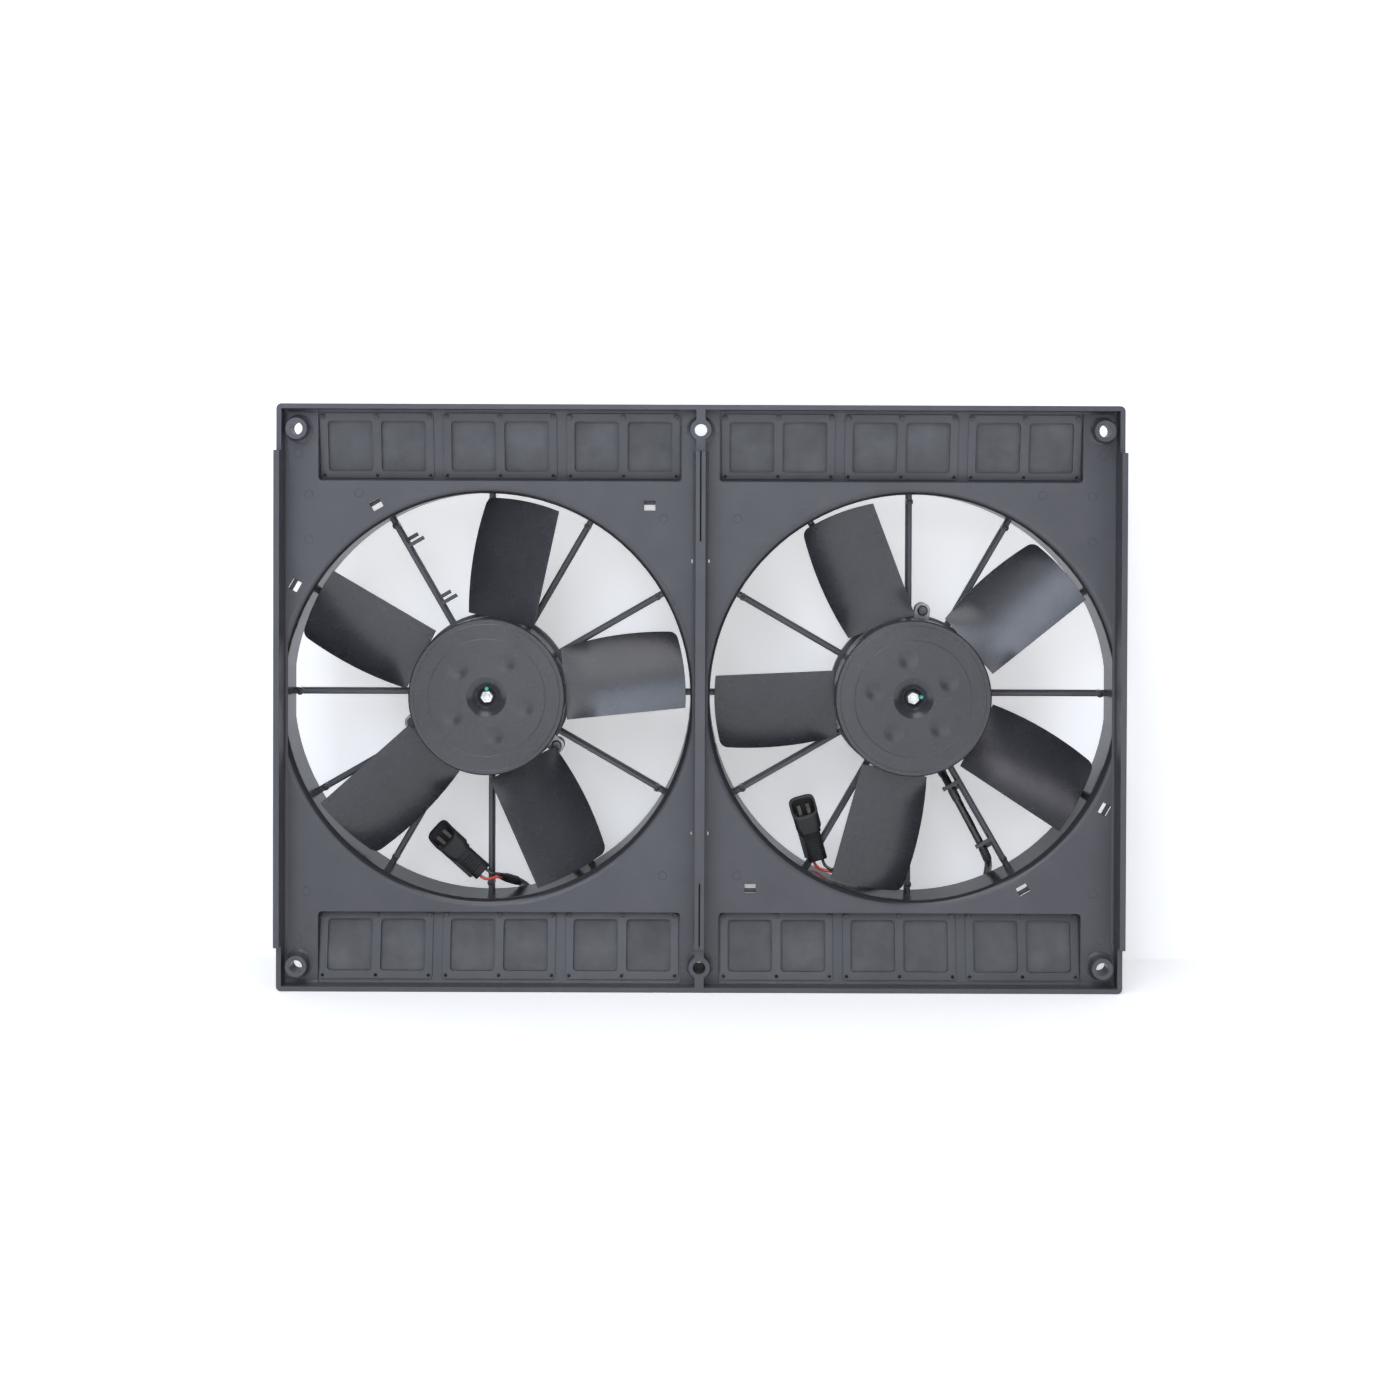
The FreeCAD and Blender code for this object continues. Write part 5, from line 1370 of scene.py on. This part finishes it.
# --------------------------------------------------------------------------------------
# Fans and motors
# --------------------------------------------------------------------------------------
@dataclass
class Fan:
    """Five-bladed fan on its shaft: finish, nut recess and locking dab."""

    side: str
    dimples: tuple[float, ...]
    first_blade: float
    dab_angle: float
    dab_reach: float = 0.0062
    front: float = 0.011
    recess_floor: float = 0.017
    recess_mouth: float = 0.0154
    recess_step: float = 0.0084
    nut_clear: float = 0.0053

    def dab(self, lacquer: bpy.types.Material) -> None:
        """Dab of lacquer beside the nut.

        Args:
            lacquer: Its finish.
        """
        turn = math.radians(self.dab_angle)
        random = np.random.default_rng(5)
        centre = Vector((SIDES[self.side] + math.cos(turn) * self.dab_reach, self.recess_floor - 0.0034,
                         math.sin(turn) * self.dab_reach))
        build = bmesh.new()
        bmesh.ops.create_icosphere(build, subdivisions=3, radius=1.0)
        for vertex in build.verts:
            swell = 1.05 + 0.006 * float(random.normal())
            drop = Vector((vertex.co.x * 0.0016, vertex.co.y * 0.0026, vertex.co.z * 0.0015))
            vertex.co = centre + drop * swell
        for face in build.faces:
            face.smooth = True
        mesh = bpy.data.meshes.new(self.side + "_locking_dab")
        build.to_mesh(mesh)
        build.free()
        mesh.materials.append(lacquer)
        made_piece(self.side + "_locking_dab", mesh, self.side + "_rotor")

    def recess(self, plastic: bpy.types.Material) -> None:
        """Smooth sunk seat round the nut.

        Args:
            plastic: The fan's material.
        """
        profile = [(self.recess_mouth + 0.0002, self.front + 0.0001),
                   (self.recess_mouth - 0.0004, self.front + 0.00001),
                   (0.0118, self.front + 0.0006), (self.recess_step + 0.0005, self.front + 0.0011),
                   (self.recess_step - 0.0002, self.front + 0.0016),
                   (self.nut_clear, self.recess_floor - 0.0006),
                   (self.nut_clear - 0.0003, self.recess_floor - 0.0001)]
        corners = 72
        points, faces = [], []
        for radius, depth in profile:
            points += [Vector((SIDES[self.side] + math.cos(math.tau * i / corners) * radius, depth,
                               math.sin(math.tau * i / corners) * radius)) for i in range(corners)]
        for row in range(len(profile) - 1):
            for i in range(corners):
                after = (i + 1) % corners
                faces.append((row * corners + i, row * corners + after, (row + 1) * corners + after,
                              (row + 1) * corners + i))
        mesh = mesh_of(self.side + "_nut_seat", [(points, faces)], plastic, 40.0)
        made_piece(self.side + "_nut_seat", mesh, self.side + "_rotor")

    def build(self, zinc: bpy.types.Material, lacquer: bpy.types.Material) -> None:
        """Dress the fan, its nut and shaft.

        Args:
            zinc: Plating of the nut and shaft.
            lacquer: Finish of the dab.
        """
        plastic = HubPlastic(self.side + "_fan_plastic", (SIDES[self.side], 0.0, 0.0), self.dimples,
                             self.first_blade).material()
        dress(self.side + "_fan", plastic)
        dress(self.side + "_fan_nut", zinc)
        dress(self.side + "_motor_shaft", zinc)
        self.recess(plastic)
        self.dab(lacquer)
        log.info("%s fan dressed", self.side)


@dataclass
class Motor:
    """Permanent-magnet motor: every part of it gets its own finish."""

    side: str
    finishes: dict[str, bpy.types.Material] = field(default_factory=dict)

    def build(self) -> None:
        """Dress the motor's parts."""
        for name, material in self.finishes.items():
            dress(f"{self.side}_{name}", material)
        log.info("%s motor: %d parts dressed", self.side, len(self.finishes))


@dataclass
class Connector:
    """Sealed two-way connector: slanted oval mouth, collar, latch rails and finger-grip ribs."""

    side: str
    back: Point
    turn: float
    depth: float = 0.0511
    long: float = 0.052
    slant: float = 0.017
    floor: float = 0.030
    wall: float = 0.0016
    corners: int = 56
    tail_wide: float = 0.015
    tail_high: float = 0.0086
    profile: tuple[tuple[float, float, float], ...] = (
        (0.0, 0.0140, 0.0076), (0.0003, 0.0147, 0.0083), (0.0010, 0.0150, 0.0086), (0.0215, 0.0150, 0.0086),
        (0.0220, 0.0166, 0.0094), (0.0226, 0.0170, 0.0096), (0.0246, 0.0170, 0.0096),
        (0.0256, 0.0186, 0.0096), (0.0268, 0.0198, 0.0096))
    rib_count: int = 6

    def to_row(self, along: float, across: float, off: float) -> Vector:
        """A point of the connector in the row frame.

        Args:
            along: Distance from its back towards its mouth.
            across: Distance off its middle in the plane of the ring.
            off: Distance off its middle along Y.

        Returns:
            The point.
        """
        turn = math.radians(self.turn)
        return Vector((SIDES[self.side] + self.back[0] + along * math.cos(turn) + across * math.sin(turn),
                       self.depth + off, self.back[2] + along * math.sin(turn) - across * math.cos(turn)))

    def section(self, wide: float, high: float, along: object) -> list[Vector]:
        """A rounded ring of points.

        Args:
            wide: Width in the plane of the ring.
            high: Height along Y.
            along: Function from the offset along Y to the distance along the connector.

        Returns:
            The points.
        """
        points = []
        for index in range(self.corners):
            turn = math.tau * index / self.corners
            across = math.copysign(abs(math.cos(turn)) ** 0.5, math.cos(turn)) * wide / 2
            off = math.copysign(abs(math.sin(turn)) ** 0.5, math.sin(turn)) * high / 2
            points.append(self.to_row(along(off), across, off))
        return points

    def rail(self, off: float) -> tuple[list[Vector], list[tuple[int, ...]]]:
        """One latch rail along the connector's edge."""
        rings = []
        for along, grow in ((0.004, 0.4), (0.005, 1.0), (0.036, 1.0), (0.0395, 0.3)):
            rings.append([self.to_row(along, -(0.0066 + out * grow), off + up)
                          for out, up in ((0.0, -0.0008), (0.0026, -0.0008), (0.0030, -0.0004),
                                          (0.0030, 0.0004), (0.0026, 0.0008), (0.0, 0.0008))])
        return tube_part(rings)

    def shell(self, plastic: bpy.types.Material, shade: bpy.types.Material) -> bpy.types.Object:
        """The housing.

        Args:
            plastic: Its finish.
            shade: Darker plastic inside its mouth, painted shade.

        Returns:
            The piece.
        """
        def rim(off: float) -> float:
            """Length to the slanted mouth at a height across the connector."""
            return self.long - 0.0002 - self.slant * (0.5 - off / 0.0096)

        rings = [self.section(wide, high, lambda off, at=at: at) for at, wide, high in self.profile]
        start, wide, high = self.profile[-1]
        for step in range(1, 9):
            share = step / 8
            lip = 0.0008 * max(0.0, (share - 0.72) / 0.28)
            rings.append(self.section(wide + 0.0002 + lip, high,
                                      lambda off, k=share: start + (rim(off) - start) * k))
        rings.append(self.section(wide + 0.0004, high - 0.0004, lambda off: rim(off) + 0.0002))
        inner_wide, inner_high = 0.0200 - self.wall * 2, 0.0096 - self.wall * 1.5
        rings.append(self.section(inner_wide + 0.0004, inner_high + 0.0004, lambda off: rim(off) + 0.0002))
        inside = []
        for step in range(7):
            share = 1 - step / 6
            inside.append(self.section(inner_wide - 0.0006 * (1 - share), inner_high,
                                       lambda off, k=share: self.floor + (rim(off) - self.floor) * k))
        rings.append(inside[0])
        parts = [tube_part(rings, False)] + [self.rail(off) for off in (-0.0026, 0.0026)]
        tail = self.section(0.0140, 0.0076, lambda off: 0.0)
        parts.append((tail, [tuple(range(len(tail)))[::-1]]))
        cavity = tube_part(inside, False)
        cavity[1].append(tuple(range(len(cavity[0]) - self.corners, len(cavity[0]))))
        lining, casing = self.side + "_connector_cavity", self.side + "_connector_shell"
        # The cavity lining carries the painted shade of the mouth.
        made_piece(lining, mesh_of(lining, [cavity], shade, 42.0), "shroud")
        return made_piece(casing, mesh_of(casing, parts, plastic, 42.0), "shroud")

    def grip(self, plastic: bpy.types.Material) -> bpy.types.Object:
        """Finger-grip ribs across both faces of the tail.

        Args:
            plastic: The housing's material.

        Returns:
            The piece.
        """
        points, turns = [], []
        for index in range(self.rib_count):
            for face in (-1, 1):
                points.append(self.to_row(0.006 + 0.0022 * index, 0, face * self.tail_high / 2))
                turns.append((0.0, math.pi / 2 - math.radians(self.turn), 0.0))
        mesh = rib_tree().bake(self.side + "_grip_ribs", point_mesh(points, turns), plastic,
                               {"Long": self.tail_wide * 0.62, "Radius": 0.00036})
        return made_piece(self.side + "_grip_ribs", mesh, "shroud")

    def build(self, plastic: bpy.types.Material, shade: bpy.types.Material, tin: bpy.types.Material,
              seal: bpy.types.Material) -> list[bpy.types.Object]:
        """Make the housing and dress the terminals and the seal.

        Args:
            plastic: Housing finish.
            shade: Darker plastic inside its mouth, painted shade.
            tin: Terminal tin, kept near black as painted shade inside the mouth.
            seal: Seal finish.

        Returns:
            The connector's pieces.
        """
        shell = self.shell(plastic, shade)
        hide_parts(self.side + "_connector_housing")
        dress(self.side + "_connector_terminals", tin)
        dress(self.side + "_connector_seal", seal)
        inner = [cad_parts[f"{self.side}_connector_{name}"] for name in ("terminals", "seal")]
        return [shell, bpy.data.objects[self.side + "_connector_cavity"], self.grip(plastic)] + inner


# --------------------------------------------------------------------------------------
# Studio
# --------------------------------------------------------------------------------------
@dataclass(frozen=True)
class Lamp:
    """A soft square lamp."""

    name: str
    place: Point
    aim: Point
    size: float
    power: float
    colour: Point = (1.0, 1.0, 1.0)


@dataclass
class Studio:
    """Plain pale set, soft lamps and the camera."""

    camera_place: Point = (-0.00053, -1.820, 0.1708)
    lens: float = 61.6
    tilt_down: float = 0.82
    roll: float = 0.2
    shift_y: float = -0.1364
    paper: Point = (0.86, 0.86, 0.87)
    paper_glow: float = 0.38
    paper_shine: float = 0.95
    wall_shine: float = 0.08
    room: float = 0.16
    surround: float = 0.36
    wall_depth: float = 0.135
    wall_half: float = 1.7
    wall_top: float = 1.9
    floor_half_wide: float = 4.0
    floor_half_deep: float = 3.6
    lamps: tuple[Lamp, ...] = (
        Lamp("top_softbox", (-0.2, -1.1, 2.0), (0.0, 0.0, 0.0), 1.2, 15.0),
        Lamp("window", (-0.62, -2.5, 1.30), (0.0, 0.0, 0.0), 1.25, 32.0, (0.76, 0.85, 1.0)),
        Lamp("side_lamp", (1.60, -2.4, 1.35), (0.2, 0.0, 0.0), 0.65, 7.0, (0.95, 0.93, 1.0)),
        Lamp("front_card", (0.0, -2.75, 0.30), (0.0, 0.0, 0.0), 1.1, 9.5, (0.93, 0.95, 1.0)))

    def camera(self) -> None:
        """The camera, level with the upper part of the shroud."""
        data = bpy.data.cameras.new("camera")
        data.sensor_width = 36.0
        data.lens = self.lens
        data.shift_y = self.shift_y
        data.clip_start = 0.05
        holder = bpy.data.objects.new("camera", data)
        holder.location = self.camera_place
        turn = Euler((math.radians(90.0 - self.tilt_down), 0.0, 0.0)).to_matrix()
        holder.rotation_euler = (turn @ Matrix.Rotation(math.radians(self.roll), 3, "Z")).to_euler()
        bpy.context.scene.collection.objects.link(holder)
        bpy.context.scene.camera = holder

    def paper_material(self, name: str, shine: float) -> bpy.types.Material:
        """White paper that shows as white to the camera and in reflections, and keeps shadows.

        Args:
            name: Its name.
            shine: Its own light in reflections.

        Returns:
            The material.
        """
        graph = Graph(name)
        shade = tuple(v * 0.985 for v in self.paper)
        fibres = graph.ramp(graph.noise(40.0, 5.0), (0.3, shade), (0.7, self.paper))
        path = graph.node("ShaderNodeLightPath")
        shiny = graph.math("ADD", path.outputs["Is Glossy Ray"], path.outputs["Is Transmission Ray"],
                           clamp=True)
        glow = graph.math("ADD", graph.math("MULTIPLY", path.outputs["Is Camera Ray"], self.paper_glow),
                          graph.math("MULTIPLY", shiny, shine))
        return graph.finish(Base_Color=fibres, Roughness=0.9, Specular_IOR_Level=0.1,
                            Emission_Color=(1.0, 1.0, 1.0), Emission_Strength=glow)

    def clear_from_behind(self, paper: bpy.types.Material) -> bpy.types.Material:
        """Makes a paper clear on its back, so that the shroud is seen from behind the wall too.

        Args:
            paper: The paper.

        Returns:
            The same paper.
        """
        tree = paper.node_tree
        output = next(node for node in tree.nodes if node.type == "OUTPUT_MATERIAL")
        front = output.inputs["Surface"].links[0].from_socket
        side = tree.nodes.new("ShaderNodeNewGeometry")
        clear = tree.nodes.new("ShaderNodeBsdfTransparent")
        blend = tree.nodes.new("ShaderNodeMixShader")
        tree.links.new(side.outputs["Backfacing"], blend.inputs[0])
        tree.links.new(front, blend.inputs[1])
        tree.links.new(clear.outputs[0], blend.inputs[2])
        tree.links.new(blend.outputs[0], output.inputs["Surface"])
        return paper

    def sheet(self, name: str, corners: tuple[Point, Point, Point, Point], paper: bpy.types.Material) -> None:
        """A flat sheet of the set.

        Args:
            name: Its name.
            corners: Its corners in order.
            paper: Its material.
        """
        mesh = bpy.data.meshes.new(name)
        mesh.from_pydata(corners, [], [(0, 1, 2, 3)])
        mesh.materials.append(paper)
        sheet = bpy.data.objects.new(name, mesh)
        bpy.context.scene.collection.objects.link(sheet)
        sheet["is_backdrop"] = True

    def paper_set(self, height: float) -> None:
        """Floor under the shroud and a wall close behind it.

        Args:
            height: Level that the shroud stands on.
        """
        x, y = self.floor_half_wide, self.floor_half_deep
        self.sheet("floor", ((-x, -y, height), (x, -y, height), (x, y, height), (-x, y, height)),
                   self.paper_material("floor_paper", self.paper_shine))
        x, deep, top = self.wall_half, self.wall_depth, self.wall_top
        self.sheet("back_wall", ((-x, deep, height), (x, deep, height), (x, deep, top), (-x, deep, top)),
                   self.clear_from_behind(self.paper_material("wall_paper", self.wall_shine)))

    def world(self) -> None:
        """Even surround light that shows as white."""
        world = bpy.data.worlds.new("surround")
        world.use_nodes = True
        bpy.context.scene.world = world
        tree = world.node_tree
        tree.nodes.clear()
        path = tree.nodes.new("ShaderNodeLightPath")
        both = tree.nodes.new("ShaderNodeMath")
        both.operation = "ADD"
        either = tree.nodes.new("ShaderNodeMath")
        either.operation = "ADD"
        either.use_clamp = True
        tree.links.new(path.outputs["Is Glossy Ray"], both.inputs[0])
        tree.links.new(path.outputs["Is Transmission Ray"], both.inputs[1])
        tree.links.new(path.outputs["Is Camera Ray"], either.inputs[0])
        tree.links.new(both.outputs[0], either.inputs[1])
        soft, white = tree.nodes.new("ShaderNodeBackground"), tree.nodes.new("ShaderNodeBackground")
        soft.inputs["Color"].default_value = (0.93, 0.95, 1.0, 1.0)
        soft.inputs["Strength"].default_value = self.surround
        white.inputs["Color"].default_value = (1.0, 1.0, 1.0, 1.0)
        aim, split, level = (tree.nodes.new(kind) for kind in
                             ("ShaderNodeTexCoord", "ShaderNodeSeparateXYZ", "ShaderNodeMapRange"))
        tree.links.new(aim.outputs["Generated"], split.inputs[0])
        tree.links.new(split.outputs["Y"], level.inputs["Value"])
        for name, value in (("From Min", 0.15), ("From Max", 0.6), ("To Min", self.room), ("To Max", 1.0)):
            level.inputs[name].default_value = value
        tree.links.new(level.outputs[0], white.inputs["Strength"])
        mixed = tree.nodes.new("ShaderNodeMixShader")
        tree.links.new(either.outputs[0], mixed.inputs[0])
        tree.links.new(soft.outputs[0], mixed.inputs[1])
        tree.links.new(white.outputs[0], mixed.inputs[2])
        tree.links.new(mixed.outputs[0], tree.nodes.new("ShaderNodeOutputWorld").inputs[0])

    def lights(self) -> None:
        """Soft square lamps aimed at the shroud."""
        for lamp in self.lamps:
            data = bpy.data.lights.new(lamp.name, "AREA")
            data.size = lamp.size
            data.energy = lamp.power
            data.color = lamp.colour
            holder = bpy.data.objects.new(lamp.name, data)
            holder.location = lamp.place
            aim = Vector(lamp.aim) - Vector(lamp.place)
            holder.rotation_euler = aim.to_track_quat("-Z", "Y").to_euler()
            holder.visible_camera = False
            bpy.context.scene.collection.objects.link(holder)

    def build(self, height: float) -> None:
        """Set everything up.

        Args:
            height: Level that the shroud stands on.
        """
        bpy.context.scene.view_settings.view_transform = "Standard"
        self.camera()
        self.paper_set(height)
        self.world()
        self.lights()


# --------------------------------------------------------------------------------------
# Assembly
# --------------------------------------------------------------------------------------
LEADS = (Lead("left", ((0.049, 0.083, -0.162), (0.032, 0.0795, -0.1615), (0.0225, 0.0695, -0.1515),
                       (0.017, 0.058, -0.1475), (0.0085, 0.0508, -0.1438)), 0.2010),
         Lead("right", ((0.049, 0.083, -0.163), (0.024, 0.082, -0.167), (-0.006, 0.079, -0.163),
                        (-0.029, 0.072, -0.1495), (-0.046, 0.060, -0.141), (-0.0585, 0.051, -0.1388)),
              0.2642))
CONNECTORS = (Connector("left", (-0.0058, 0, -0.1408), 138.0),
              Connector("right", (-0.0706, 0, -0.1304), 106.0))
FANS = (Fan("left", (136.0, 61.0, -15.0, -79.0, 210.0), 77.5, 90.0),
        Fan("right", (98.0, 25.0, -48.0, -120.0, 170.0), 39.4, 8.0))


def main() -> None:
    """Build the whole scene in order."""
    logging.basicConfig(level=logging.INFO, format="%(message)s")
    low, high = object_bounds()
    Studio().build(float(low[2]))

    sleeve = Insulation("sleeve_vinyl", (0.012, 0.012, 0.013), (0.030, 0.030, 0.031)).material()
    tape = Insulation("cloth_tape", (0.020, 0.020, 0.020), (0.045, 0.045, 0.044), 0.5).material()
    housing = MouldedPlastic("connector_plastic", (0.014, 0.014, 0.015), (0.024, 0.024, 0.026), 0.30,
                             Texture.GLOSS, specular=0.22).material()
    # Painted shade: the mouth's lining is a darker copy of the housing plastic.
    shade = MouldedPlastic("connector_inside_painted_shade", (0.006, 0.006, 0.007), (0.012, 0.012, 0.013), 0.62,
                           specular=0.2).material()
    # Terminal tin kept near black: painted shade inside the connector's mouth.
    tin = Metal("terminal_tin_painted_shade", MetalKind.TINNED_IN_PAINTED_SHADE, 0.34).material()
    seal = SheetRubber("seal_silicone", (0.16, 0.16, 0.17), (0.22, 0.22, 0.23)).material()
    for lead, connector in zip(LEADS, CONNECTORS):
        lead.build(sleeve, tape, connector.build(housing, shade, tin, seal))

    Moulding(MouldedPlastic("shroud_plastic", (0.049, 0.049, 0.058), (0.073, 0.073, 0.084), 0.40,
                            Texture.SATIN, dust=0.10,
                            polished_and_shaded=tuple((x, 0.0, 0.0) for x in SIDES.values()))).build()
    FlapBank(SheetRubber("flap_rubber")).build()

    zinc = Metal("zinc_plate", MetalKind.ZINC, 0.26).material()
    lacquer = PaintDot("green_lacquer", (0.10, 0.62, 0.46)).material()
    for fan in FANS:
        fan.build(zinc, lacquer)

    bronze = Metal("bearing_bronze", MetalKind.BRONZE, 0.36).material()
    copper = Metal("winding_copper", MetalKind.COPPER, 0.3, 3200.0).material()
    grommet = SheetRubber("grommet_rubber", (0.03, 0.03, 0.032), (0.05, 0.05, 0.052)).material()
    holder = MouldedPlastic("holder_plastic", (0.10, 0.085, 0.06), (0.14, 0.12, 0.09), 0.5).material()
    finishes = {"motor_can": PaintedSteel("can_enamel").material(),
                "motor_bell": Metal("bell_metal", MetalKind.CAST, 0.48).material(),
                "motor_screws": Metal("screw_black", MetalKind.BLACKENED, 0.34).material(),
                "motor_magnets": Sintered("ferrite", (0.06, 0.06, 0.062)).material(),
                "armature_core": Metal("laminations", MetalKind.LAMINATION, 0.42, 4200.0).material(),
                "armature_winding": copper, "commutator": copper,
                "brushes": Sintered("carbon", (0.03, 0.03, 0.03), 0.5).material(),
                "brush_holder": holder,
                "front_bearing": bronze, "rear_bearing": bronze, "motor_grommet": grommet}
    red = Insulation("red_wire", (0.62, 0.055, 0.030), (0.72, 0.11, 0.07)).material()
    black = Insulation("black_wire", (0.014, 0.014, 0.015), (0.030, 0.030, 0.031)).material()
    for side in SIDES:
        Motor(side, finishes).build()
        dress(side + "_wire_red", red)
        dress(side + "_wire_black", black)

    low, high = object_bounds()


if __name__ == "__main__":
    main()
